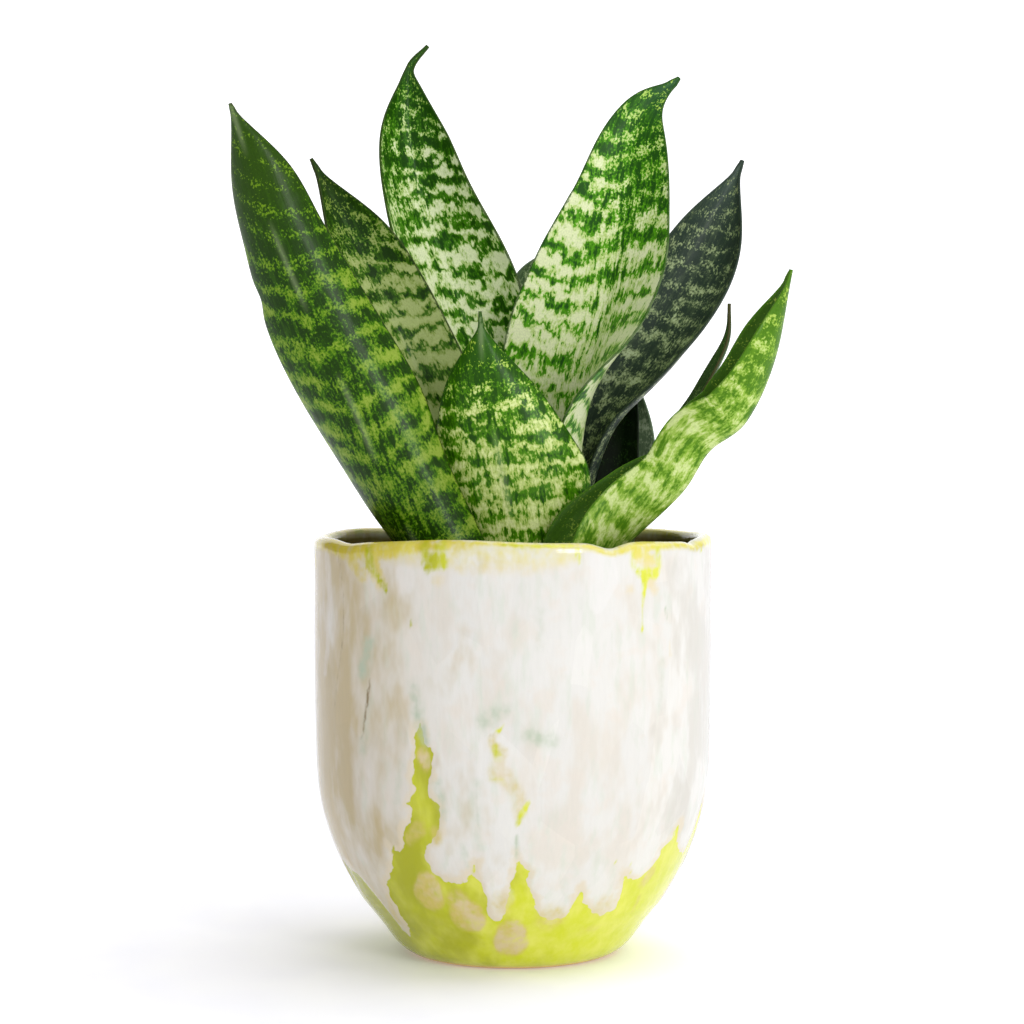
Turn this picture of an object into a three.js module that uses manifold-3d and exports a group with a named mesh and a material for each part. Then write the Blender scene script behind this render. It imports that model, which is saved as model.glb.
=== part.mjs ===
// Potted bird's nest snake plant: a rosette of eleven cupped, cross-banded leaves in a
// glazed stoneware pot. Millimetres, +Z up, origin at the middle of the pot's foot,
// +X to the right and +Y away from the side that shows the short front leaf.
import * as THREE from 'three';
import Module from 'manifold-3d';
import { mergeVertices } from 'three/addons/utils/BufferGeometryUtils.js';

const wasm = await Module();
wasm.setup();

// Driving dimensions
const POT_HEIGHT = 147;
const POT_RADIUS = 70;
const WALL = 5;
const FOOT_RADIUS = 36.5;
const FLOOR_TOP = 10;
const POT_SIDES = 56;

const SOIL_TOP = 130;
const SOIL_LUMP = 1.1;
const SOIL_GAP = 0.35;
const SOIL_SIDES = 40;

const CLEARANCE = 0.35;
const LEAF_FOOT = 116;
const SEAT_TOP = LEAF_FOOT - 0.3;
const CROWN = new THREE.Vector3(9, 7, 107);
const CROWN_RADII = new THREE.Vector3(20, 18, 11);
const FINGER_RADIUS = 6.5;

const EDGE_THICKNESS = 0.9;
const TIP_THICKNESS = 1.3;

// One entry for each leaf. spine: points along the middle of the blade from the soil to
// the tip. face: compass angle that the upper side looks to, in degrees from +X towards
// +Y, from base to tip. half: half of the blade's width, measured along its curve, from
// base to tip. cup: how far each half of the blade curls up, in degrees. keel: 0 for a
// round trough, 1 for a sharp fold. cusp: length of the hard point. point: half of the
// hard point's width at its root. wave: height of the margins' waves, waves along the leaf,
// start of the first wave. thick: middle thickness at the base. dent: place along the leaf,
// side (+1 or -1) and depth of a nick in a margin.
const LEAVES = {
  leaf_front_left: {
    spine: [[-21.2, -20, 125], [-39.7, -25, 158], [-54.4, -29, 192], [-69.6, -33, 224],
      [-83, -37, 257], [-94.8, -41, 293.2]],
    half: [20.4, 22.6, 24.1, 25.2, 23.6, 21.4, 17.6, 12.9], face: [47, 65, 77, 76, 65],
    cup: [91, 75, 63, 62, 62], keel: 0.3, cusp: 2, point: 1.2, wave: [0.9, 2.6, 0.1],
    thick: 3.6, dent: [0.65, 1, 1.6], rows: 25,
  },
  leaf_back_left: {
    spine: [[-12, 9, 125], [-20, 12, 160], [-31, 13, 194], [-45.2, 13, 225],
      [-58.7, 14, 253], [-72, 14, 280.5]],
    half: [11.2, 15.4, 19, 19.6, 18.4, 13.7], face: [306, 302, 301, 301, 302],
    cup: [76, 62, 59, 57, 68], keel: 0.3, cusp: 4, point: 1.5, wave: [0.8, 2.2, 0.4],
    thick: 3.4, rows: 18,
  },
  leaf_tallest: {
    spine: [[0.2, 29, 125], [-2.1, 34, 160], [-9.4, 37.5, 195], [-19, 40, 229],
      [-30.7, 41, 262], [-37.1, 41, 289], [-38.3, 41, 308], [-37.5, 41, 317],
      [-31.2, 41, 324.5]],
    half: [10.9, 15, 20.1, 24.3, 26.3, 26.2, 22.6, 15.7], face: [276, 281, 285, 277, 275],
    cup: [76, 73, 79, 83, 64], keel: 0.3, cusp: 10, point: 1.7, wave: [0.7, 1.8, 0.2],
    thick: 3.6, rows: 22,
  },
  leaf_front_short: {
    spine: [[2.2, -15, 125], [-0.2, -18, 150], [-4.8, -20, 175], [-9.8, -22, 200],
      [-11.3, -24, 224.4]],
    half: [15.4, 26.2, 30.8, 24.4, 15.5], face: [87, 83, 81, 84, 86],
    cup: [69, 47, 39, 42, 50], keel: 0.2, cusp: 5, point: 1, wave: [0.6, 1.6, 0.7],
    thick: 3.4, rows: 16,
  },
  leaf_tall_right: {
    spine: [[17.7, 11, 125], [21.9, 14, 160], [25.3, 17, 195], [34.1, 19, 229],
      [40.3, 20, 264], [46.4, 21, 296], [59.8, 22, 310.3]],
    half: [12.4, 17.7, 26.2, 32.5, 34.1, 29.3, 20.2, 12.4], face: [206, 204, 230, 253, 265],
    cup: [94, 86, 63, 47, 49], keel: 0.5, cusp: 3, point: 1.8, wave: [0.7, 2, 0.6],
    thick: 3.6, rows: 22,
  },
  leaf_dark_right: {
    spine: [[22.2, 27, 125], [24.8, 29, 158], [32.4, 32, 189], [50.1, 34, 216],
      [68.2, 36, 246], [84.1, 38, 282.4]],
    half: [7.5, 10.9, 16.6, 21.2, 22.8, 17.3], face: [219, 228, 252, 266, 260],
    cup: [84, 94, 92, 84, 78], keel: 0, cusp: 4, point: 1.6, wave: [0.6, 2.2, 0.9],
    thick: 3.3, rows: 20,
  },
  leaf_low_right: {
    spine: [[19, -21, 125], [39.3, -26, 146], [56.7, -31, 163], [65.9, -33.5, 177],
      [78.2, -37, 187], [87.6, -41, 208], [93.1, -44, 237.4]],
    half: [17.5, 26.1, 23.1, 20.3, 18.8, 18.7, 13.6],
    face: [203, 187, 173, 171, 180, 195, 200], cup: [102, 120, 136, 143, 135, 121, 110],
    keel: 0.5, cusp: 3, point: 1.8, wave: [1, 3.2, 0.3], thick: 3.2, rows: 22,
  },
  leaf_young_spear: {
    spine: [[39.1, 3, 125], [43.2, 3, 150], [53.3, 3, 175], [66.3, 2, 196], [75.4, 2, 214],
      [76.3, 2, 228.3]],
    half: [4, 4.8, 4.6, 4.4, 4.2, 4], face: [179, 189, 199, 200, 203],
    cup: [60, 60, 60, 60, 60], keel: 0.3, cusp: 4, point: 0.9, wave: [0.4, 2, 0.2],
    thick: 2.4, rows: 14, columns: 4,
  },
  leaf_back_right: {
    spine: [[33, 40, 125], [38, 42, 150], [42, 46, 175], [41, 50, 198], [38, 53, 215]],
    half: [8, 12, 14, 13, 9], face: [240, 250, 255, 255, 255], cup: [70, 60, 50, 50, 60],
    keel: 0.3, cusp: 3, point: 0.9, wave: [1.1, 3.4, 0.5], thick: 2.4, rows: 14, columns: 6,
  },
  leaf_inner_shaded: {
    spine: [[36, 24, 125], [37.5, 28, 150], [40, 33, 175], [41.8, 37, 198],
      [39.5, 40, 215]],
    half: [6, 9, 10, 8, 5], face: [225, 235, 245, 250, 250], cup: [70, 60, 50, 50, 60],
    keel: 0.3, cusp: 3, point: 0.9, wave: [0.5, 2, 0.8], thick: 2.6, rows: 12, columns: 6,
  },
  leaf_back_centre: {
    spine: [[3.5, 40, 125], [4, 48, 160], [4.6, 59, 195], [8.8, 72, 225],
      [19.1, 84, 257.3]],
    half: [10, 13.7, 17.3, 19.2, 19.9, 19.2], face: [270, 279, 287, 287, 270],
    cup: [80, 75, 70, 72, 72], keel: 0.3, cusp: 3, point: 1.5, wave: [0.7, 2, 0.1],
    thick: 3, rows: 14, columns: 6,
  },
};

const COLOURS = {
  leaf_front_left: 0x4c7a2c,
  leaf_back_left: 0x4a6a34,
  leaf_tallest: 0x6f9a50,
  leaf_front_short: 0x4f8030,
  leaf_tall_right: 0x78a050,
  leaf_dark_right: 0x34452f,
  leaf_low_right: 0x6b9440,
  leaf_young_spear: 0x44602f,
  leaf_back_right: 0x7f8a78,
  leaf_inner_shaded: 0x16240f,
  leaf_back_centre: 0x7b8674,
};

function solidFrom(geometry) {
  const bare = geometry.index ? geometry.clone() : mergeVertices(geometry);
  for (const name of ['normal', 'uv']) {
    bare.deleteAttribute(name);
  }
  const merged = mergeVertices(bare, 1e-4);
  return new wasm.Manifold(new wasm.Mesh({
    numProp: 3,
    vertProperties: new Float32Array(merged.attributes.position.array),
    triVerts: new Uint32Array(merged.index.array),
  }));
}

function geometryFrom(solid) {
  const mesh = solid.getMesh();
  const geometry = new THREE.BufferGeometry();
  geometry.setAttribute('position', new THREE.BufferAttribute(mesh.vertProperties, 3));
  geometry.setIndex(new THREE.BufferAttribute(mesh.triVerts, 1));
  geometry.computeVertexNormals();
  return geometry;
}

// A smooth value along a list of evenly spaced ones.
function along(values, t) {
  const steps = values.length - 1;
  const place = Math.min(Math.max(t, 0), 1) * steps;
  const i = Math.min(Math.floor(place), steps - 1);
  const f = place - i;
  const b = values[i];
  const c = values[i + 1];
  const a = i > 0 ? values[i - 1] : 2 * b - c;
  const d = i + 2 <= steps ? values[i + 2] : 2 * c - b;
  return 0.5 * (2 * b + (c - a) * f + (2 * a - 5 * b + 4 * c - d) * f * f
    + (3 * b - a - 3 * c + d) * f ** 3);
}

// Half width of the blade: the listed widths run out to a narrow hard point.
function halfWidth(leaf, t, side, length) {
  const bladeEnd = 1 - leaf.cusp / length;
  const blade = t < bladeEnd ? Math.max(along([...leaf.half, 0], t / bladeEnd), 0) : 0;
  const pointShare = t < bladeEnd ? 0 : (t - bladeEnd) / (1 - bladeEnd);
  let nick = 0;
  if (leaf.dent && Math.sign(side) === leaf.dent[1]) {
    const reach = ((t - leaf.dent[0]) * length) / 5;
    nick = leaf.dent[2] * Math.exp(-reach * reach);
  }
  return Math.hypot(Math.max(blade - nick, 0), leaf.point * (1 - 0.6 * pointShare));
}

// Where a point of the blade lies in its cross-section: out from the middle and up
// towards the upper side, for a share s of the half width (-1 to 1).
function sectionPoint(leaf, t, s, half, cupDegrees) {
  const cup = THREE.MathUtils.degToRad(Math.max(cupDegrees, 1));
  const reach = Math.abs(s);
  const bend = half / cup;
  const round = [bend * Math.sin(cup * reach), bend * (1 - Math.cos(cup * reach))];
  const fold = [half * reach * Math.cos(cup / 2), half * reach * Math.sin(cup / 2)];
  const [height, count, start] = leaf.wave;
  const later = s > 0 ? 0.15 : 0;
  const ripple = height * reach ** 3 * Math.sin(2 * Math.PI * (count * t + start + later))
    * Math.sin(Math.PI * t);
  const out = THREE.MathUtils.lerp(round[0], fold[0], leaf.keel);
  const up = THREE.MathUtils.lerp(round[1], fold[1], leaf.keel);
  return [Math.sign(s) * out, up + ripple];
}

// A fleshy blade is thick along the middle and thins to its margins and its tip.
function thickness(leaf, t, s) {
  const middle = THREE.MathUtils.lerp(leaf.thick, TIP_THICKNESS, Math.min(1, t / 0.95));
  return EDGE_THICKNESS + (middle - EDGE_THICKNESS) * (1 - Math.abs(s) ** 2.2);
}

// The closed body of a leaf. grow makes it larger all round, for the hole that it stands
// in, and lastT ends it early. The buried end goes straight down to a flat foot.
function leafGeometry(leaf, grow = 0, lastT = 1, rows = leaf.rows) {
  const columns = leaf.columns ?? 8;
  const spine = new THREE.CatmullRomCurve3(
    leaf.spine.map((p) => new THREE.Vector3(...p)), false, 'catmullrom', 0.5);
  const length = spine.getLength();
  const positions = [];
  for (let row = -1; row <= rows; row += 1) {
    const t = (Math.max(row, 0) / rows) * lastT;
    const centre = spine.getPointAt(t);
    const tangent = spine.getTangentAt(t);
    const angle = THREE.MathUtils.degToRad(along(leaf.face, t));
    const up = new THREE.Vector3(Math.cos(angle), Math.sin(angle), 0);
    up.addScaledVector(tangent, -up.dot(tangent)).normalize();
    const across = new THREE.Vector3().crossVectors(tangent, up);
    const cup = along(leaf.cup, t);
    for (const face of [1, -1]) {
      for (let column = 0; column <= columns; column += 1) {
        const s = -1 + (2 * column) / columns;
        const half = halfWidth(leaf, t, s, length) + grow;
        const [x, y] = sectionPoint(leaf, t, s, half, cup);
        const [x0, y0] = sectionPoint(leaf, t, s - 0.02, half, cup);
        const [x1, y1] = sectionPoint(leaf, t, s + 0.02, half, cup);
        const slope = Math.hypot(x1 - x0, y1 - y0);
        const offset = face * (thickness(leaf, t, s) / 2 + grow);
        const point = centre.clone()
          .addScaledVector(across, x - (offset * (y1 - y0)) / slope)
          .addScaledVector(up, y + (offset * (x1 - x0)) / slope);
        positions.push(point.x, point.y, row < 0 ? LEAF_FOOT - 2 * grow : point.z);
      }
    }
  }
  const ring = 2 * (columns + 1);
  const at = (row, face, column) => (row + 1) * ring + face * (columns + 1) + column;
  const index = [];
  const quad = (a, b, c, d) => index.push(a, b, c, a, c, d);
  for (let row = -1; row < rows; row += 1) {
    for (let column = 0; column < columns; column += 1) {
      quad(at(row, 0, column), at(row, 0, column + 1),
        at(row + 1, 0, column + 1), at(row + 1, 0, column));
      index.push(at(row, 1, column), at(row + 1, 1, column + 1), at(row, 1, column + 1));
      index.push(at(row, 1, column), at(row + 1, 1, column), at(row + 1, 1, column + 1));
    }
    quad(at(row, 1, 0), at(row, 0, 0), at(row + 1, 0, 0), at(row + 1, 1, 0));
    quad(at(row, 0, columns), at(row, 1, columns),
      at(row + 1, 1, columns), at(row + 1, 0, columns));
  }
  for (let column = 0; column < columns; column += 1) {
    quad(at(-1, 0, column), at(-1, 1, column), at(-1, 1, column + 1), at(-1, 0, column + 1));
    quad(at(rows, 0, column), at(rows, 0, column + 1),
      at(rows, 1, column + 1), at(rows, 1, column));
  }
  const geometry = new THREE.BufferGeometry();
  geometry.setAttribute('position', new THREE.Float32BufferAttribute(positions, 3));
  geometry.setIndex(index);
  geometry.computeVertexNormals();
  return geometry;
}

// A closed body of revolution about the Z axis from [radius, height] points that go round
// the section with the material on their left.
function turned(points, sides) {
  const profile = points.map(([r, z]) => new THREE.Vector2(r, z));
  const lathe = new THREE.LatheGeometry(profile, sides);
  lathe.rotateX(Math.PI / 2);
  for (const name of ['normal', 'uv']) {
    lathe.deleteAttribute(name);
  }
  return mergeVertices(lathe, 1e-4);
}

// How much the rim rises or dips at an angle: a slow hand-thrown wave and three nicks.
const RIM_NICKS = [
  { angle: -62, depth: 2.2, spread: 5 },
  { angle: -145, depth: 1.1, spread: 8 },
  { angle: -27, depth: 1.2, spread: 4 },
];
function rimWave(angle) {
  let rise = 0.55 * Math.sin(3 * angle + 0.6) + 0.35 * Math.sin(7 * angle + 2.1);
  const degrees = THREE.MathUtils.radToDeg(angle);
  for (const nick of RIM_NICKS) {
    const away = (degrees - nick.angle) / nick.spread;
    rise -= nick.depth * Math.exp(-away * away);
  }
  return rise;
}

function moveVertices(geometry, change) {
  const position = geometry.attributes.position;
  for (let i = 0; i < position.count; i += 1) {
    const point = new THREE.Vector3().fromBufferAttribute(position, i);
    change(point);
    position.setXYZ(i, point.x, point.y, point.z);
  }
  geometry.computeVertexNormals();
  return geometry;
}

function potGeometry() {
  const inner = POT_RADIUS - WALL;
  const geometry = turned([
    [0, 0], [FOOT_RADIUS, 0],
    [39.9, 2.4], [43, 5.5], [46.9, 11], [50.8, 16], [54.5, 21], [60.5, 32], [64.9, 43],
    [67.7, 53], [69.1, 64], [69.7, 80], [POT_RADIUS, 100], [POT_RADIUS, 125],
    [POT_RADIUS, POT_HEIGHT - 3], [POT_RADIUS - 0.7, POT_HEIGHT - 0.9],
    [POT_RADIUS - WALL / 2, POT_HEIGHT], [inner + 0.7, POT_HEIGHT - 0.9],
    [inner, POT_HEIGHT - 3], [inner, 125], [inner, 76], [63.6, 60], [60.5, 46],
    [54, 33], [46, 22], [36, 14], [22, 11], [0, FLOOR_TOP],
  ], POT_SIDES);
  return moveVertices(geometry, (point) => {
    const reach = THREE.MathUtils.smoothstep(point.z, POT_HEIGHT - 12, POT_HEIGHT - 2);
    point.z += reach * rimWave(Math.atan2(point.y, point.x));
  });
}

// The soil fills the pot to a little below its rim, with a low uneven top.
function soilLump(x, y) {
  return SOIL_LUMP * (Math.sin(x / 9 + 1.3) * Math.cos(y / 11 - 0.4)
    + 0.6 * Math.sin(x / 4.7 - y / 6.1));
}

function soilGeometry() {
  const g = SOIL_GAP;
  const inner = POT_RADIUS - WALL - g;
  const rings = [58, 46, 34, 22, 10, 0];
  const geometry = turned([
    [0, FLOOR_TOP + g], [22, 11 + g], [36 - g, 14 + g], [46 - g, 22 + g],
    [54 - g, 33 + g], [60.5 - 1.2 * g, 46], [63.6 - 1.2 * g, 60], [inner, 76],
    [inner, 104], [inner, SOIL_TOP], ...rings.map((r) => [r, SOIL_TOP]),
  ], SOIL_SIDES);
  return moveVertices(geometry, (point) => {
    if (point.z > SOIL_TOP - 0.01) {
      point.z += soilLump(point.x, point.y);
    }
  });
}

// The rhizome: a low crown with a short finger out to the foot of each leaf. grow makes
// the room that it needs in the soil.
function rhizomeSolid(grow) {
  const crown = new THREE.SphereGeometry(1, 12, 7);
  crown.scale(CROWN_RADII.x + grow, CROWN_RADII.y + grow, CROWN_RADII.z + grow);
  crown.translate(CROWN.x, CROWN.y, CROWN.z);
  let solid = solidFrom(crown);
  for (const leaf of Object.values(LEAVES)) {
    const [x, y] = leaf.spine[0];
    const end = new THREE.Vector3(x, y, LEAF_FOOT - 5);
    const axis = end.clone().sub(CROWN);
    const finger = new THREE.CylinderGeometry(
      FINGER_RADIUS + grow, FINGER_RADIUS + 1 + grow, axis.length(), 6);
    const turn = new THREE.Quaternion().setFromUnitVectors(
      new THREE.Vector3(0, 1, 0), axis.clone().normalize());
    finger.applyQuaternion(turn);
    finger.translate(...CROWN.clone().addScaledVector(axis, 0.5).toArray());
    const knuckle = new THREE.SphereGeometry(FINGER_RADIUS + 1 + grow, 8, 5);
    knuckle.translate(end.x, end.y, end.z);
    solid = solid.add(solidFrom(finger)).add(solidFrom(knuckle));
  }
  const below = new THREE.BoxGeometry(200, 200, 100);
  below.translate(0, 0, SEAT_TOP + grow - 50);
  return solid.intersect(solidFrom(below));
}

const part = new THREE.Group();

function addPiece(name, geometry, color, roughness) {
  const material = new THREE.MeshStandardMaterial({ color, roughness, metalness: 0 });
  const mesh = new THREE.Mesh(geometry, material);
  mesh.name = name;
  part.add(mesh);
}

addPiece('pot', potGeometry(), 0xe6dfcf, 0.2);

let room = rhizomeSolid(CLEARANCE);
for (const leaf of Object.values(LEAVES)) {
  room = room.add(solidFrom(leafGeometry(leaf, CLEARANCE, 0.15, 2)));
}
addPiece('soil', geometryFrom(solidFrom(soilGeometry()).subtract(room)), 0x2a1d14, 0.95);
addPiece('rhizome', geometryFrom(rhizomeSolid(0)), 0xb08b5a, 0.7);

for (const [name, leaf] of Object.entries(LEAVES)) {
  addPiece(name, leafGeometry(leaf), COLOURS[name], 0.35);
}

export default part;
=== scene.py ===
# %% [markdown]
# # A bird's nest snake plant in a drip-glazed pot
# Eleven fleshy leaves stand in a rosette in a hand-thrown stoneware pot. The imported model
# gives the frame: one body, millimetre-true solids for the pot, the soil, the rhizome and
# each leaf. Here the same shapes are made again with a much finer skin, because bands, glaze
# runs and crumbs need more points than a solid for building with should carry.

# %% Load the frame
import math

import bpy
import numpy as np
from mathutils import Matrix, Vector


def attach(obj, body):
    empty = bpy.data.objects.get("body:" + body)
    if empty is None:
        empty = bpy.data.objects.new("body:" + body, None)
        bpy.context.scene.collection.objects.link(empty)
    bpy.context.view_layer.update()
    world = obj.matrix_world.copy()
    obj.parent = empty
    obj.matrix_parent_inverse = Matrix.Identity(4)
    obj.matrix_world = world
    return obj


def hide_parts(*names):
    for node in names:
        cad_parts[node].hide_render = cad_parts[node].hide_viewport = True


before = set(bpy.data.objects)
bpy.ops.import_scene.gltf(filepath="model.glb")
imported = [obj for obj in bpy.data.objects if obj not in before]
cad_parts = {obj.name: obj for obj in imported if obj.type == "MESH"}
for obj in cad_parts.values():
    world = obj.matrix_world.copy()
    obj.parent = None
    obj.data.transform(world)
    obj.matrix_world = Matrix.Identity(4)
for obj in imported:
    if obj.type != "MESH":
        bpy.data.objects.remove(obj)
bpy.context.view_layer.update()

MM = 0.001
scene = bpy.context.scene

# %% [markdown]
# ## The camera
# A small product is photographed from a little above its middle with a long lens, so the
# pot's rim is a narrow ellipse. A short lens up close would give the same frame, but it would
# swell the front leaves.

# %% Camera
CAMERA_PLACE, LOOK_DOWN, LENS_MM = (-0.00035, -0.900, 0.184), 1.86, 89.7


def put(name, data):
    """An object in the scene for a mesh, a lamp or a camera."""
    obj = bpy.data.objects.new(name, data)
    scene.collection.objects.link(obj)
    return obj


camera = put("camera", bpy.data.cameras.new("camera"))
camera.location = CAMERA_PLACE
camera.rotation_euler = (math.radians(90 - LOOK_DOWN), 0, 0)
camera.data.lens = LENS_MM
camera.data.sensor_width = 36
camera.data.clip_end = 50
scene.camera = camera
print("camera at", CAMERA_PLACE, "with a lens of", LENS_MM, "mm")

# %% [markdown]
# ## Colours, nodes and coats
# A finish is a tree of nodes. One small function adds a node. Three more do what every finish
# here is built from: coats of colour over one another, levels that noise pushes about so that
# no edge is clean, and noise in cells of a known size. Node groups could hold these too, but
# written out they can be read from top to bottom.


# %% Colours and nodes
def linear(hex_colour):
    """An sRGB hex value as the linear colour that a shader takes."""
    parts = [int(hex_colour[i:i + 2], 16) / 255 for i in (1, 3, 5)]
    return tuple(c / 12.92 if c <= 0.04045 else ((c + 0.055) / 1.055) ** 2.4
                 for c in parts) + (1.0,)


def add(tree, kind, sockets=None, **settings):
    """One node with its settings. A socket takes a node, an output, a hex colour or a value."""
    node = tree.nodes.new(kind)
    for name, value in settings.items():
        setattr(node, name, value)
    live = [s for s in node.inputs if s.enabled]
    for name, value in (sockets or {}).items():
        socket = live[name] if isinstance(name, int) else next(
            s for s in live if s.name == name)
        if isinstance(value, bpy.types.Node):
            value = next(s for s in value.outputs if s.enabled)
        if isinstance(value, bpy.types.NodeSocket):
            tree.links.new(value, socket)
        elif socket.type == "RGBA":
            socket.default_value = linear(value)
        else:
            socket.default_value = value
    return node


def new_material(name):
    """An empty material and its tree."""
    material = bpy.data.materials.new(name)
    material.use_nodes = True
    material.node_tree.nodes.clear()
    return material, material.node_tree


print("mid grey for a shader:", round(linear("#808080")[0], 3))

# %% Coats, stirred levels and cells of noise
STEP = ("From Min", "From Max", "To Min", "To Max")


def coated(tree, colour, *coats):
    """A colour under coats of others. A coat is (colour, share), or (colour, level, low,
    high): then its share rises softly from none at the low level to full at the high one.
    Two more numbers give other shares for the two ends."""
    for over, share, *step in coats:
        if step:
            share = add(tree, "ShaderNodeMapRange", {"Value": share, **dict(zip(STEP, step))},
                        interpolation_type="SMOOTHSTEP")
        colour = add(tree, "ShaderNodeMix", {"Factor": share, "A": colour, "B": over},
                     data_type="RGBA")
    return colour


def stirred(tree, level, *noises):
    """A level with noises added to it, each times its amount."""
    for noise, amount in noises:
        level = add(tree, "ShaderNodeMath", {0: noise, 1: amount, 2: level},
                    operation="MULTIPLY_ADD")
    return level


def noise_cells(tree, place, size, shift, detail, roughness):
    """Noise round nought, mostly within a fifth of it, in cells of a size."""
    laid = add(tree, "ShaderNodeMapping", {
        "Vector": place, "Location": shift, "Scale": [1 / side for side in size]})
    noise = add(tree, "ShaderNodeTexNoise", {
        "Vector": laid, "Scale": 1.0, "Detail": detail, "Roughness": roughness})
    return add(tree, "ShaderNodeMath", {0: noise, 1: 0.5}, operation="SUBTRACT")


print("a coat's step sets", STEP)

# %% [markdown]
# ## Floor and light
# The light is a white room: a pale world that is brightest at the front right, a wide soft
# sun from above that leaves a short shadow, a softbox at the front right for the gloss, and a
# lit white backdrop. Several lamps could do what the sun does, but one wide sun lights the
# whole floor evenly, out to the horizon.


# %% Floor and backdrop
def white_card(name, colour, glow):
    """Painted card for the studio: nearly white, matt, and lit a little from itself."""
    material, tree = new_material(name)
    grain = add(tree, "ShaderNodeTexNoise", {
        "Vector": add(tree, "ShaderNodeTexCoord").outputs["Object"], "Scale": 40.0})
    skin = add(tree, "ShaderNodeBsdfPrincipled", {
        "Base Color": coated(tree, colour, ("#ffffff", grain)), "Roughness": 0.9,
        "Specular IOR Level": 0.1, "Emission Color": "#ffffff", "Emission Strength": glow})
    add(tree, "ShaderNodeOutputMaterial", {"Surface": skin})
    return material


def flat_card(name, low, high, material):
    """One flat face between two corners, for the studio and not for the object."""
    mesh = bpy.data.meshes.new(name)
    mesh.from_pydata([low, (high[0], *low[1:]), high, (low[0], *high[1:])], [], [(0, 1, 2, 3)])
    mesh.materials.append(material)
    obj = put(name, mesh)
    return obj


floor = flat_card("studio_floor", (-9, -9, -0.0001), (9, 9, -0.0001),
                  white_card("white painted floor", "#efeff9", 0.14))
backdrop = flat_card("studio_backdrop", (-3, 3.5, 0), (3, 3.5, 4),
                     white_card("lit white backdrop", "#fafafa", 0.5))
print("stage:", floor.name, backdrop.name)

# %% The room's own light
ROOM_DIM, ROOM_BRIGHT, BRIGHT_SIDE = 0.0, 0.86, (0.56, -0.78, 0.25)

world = bpy.data.worlds.new("white room")
scene.world = world
world.use_nodes = True
room = world.node_tree
room.nodes.clear()
side = add(room, "ShaderNodeVectorMath", {
    0: add(room, "ShaderNodeTexCoord").outputs["Generated"], 1: BRIGHT_SIDE},
    operation="DOT_PRODUCT")
strength = add(room, "ShaderNodeMapRange", {
    "Value": side.outputs["Value"], "From Min": -1.0, "From Max": 1.0, "To Min": ROOM_DIM,
    "To Max": ROOM_BRIGHT})
glow = add(room, "ShaderNodeBackground", {"Color": "#ffffff", "Strength": strength})
add(room, "ShaderNodeOutputWorld", {"Surface": glow})
print("room light from", ROOM_DIM, "to", ROOM_BRIGHT)


# %% Lamps
def lamp(name, kind, place, aim, power, **settings):
    """A lamp at a place, turned to what it lights."""
    light = bpy.data.lights.new(name, kind)
    light.energy = power
    for key, value in settings.items():
        setattr(light, key, value)
    obj = put(name, light)
    obj.location = place
    obj.rotation_euler = (Vector(aim) - Vector(place)).to_track_quat("-Z", "Y").to_euler()


lamp("overhead soft light", "SUN", place=(0.6, 0.3, 1.5), aim=(0, 0, 0.1), power=1.3,
     angle=math.radians(65))
lamp("front right softbox", "AREA", place=(0.85, -1.3, 0.5), aim=(0, 0, 0.16), power=7.0,
     shape="RECTANGLE", size=0.35, size_y=0.5)
scene.view_settings.view_transform = "Standard"

# %% [markdown]
# ## The leaf rule
# Every leaf is the same kind of body: a fleshy blade that follows a bent spine, cups towards
# its upper side and ends in a hard point. So one rule makes them all, from the numbers that
# made the solids: points of the spine, half widths, cup angles and a few more. A leaf drawn
# by hand would take longer and would not stay in its solid. The skin is a tube of rings; each
# ring runs over the upper side, round one margin, back under and round the other.

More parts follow.
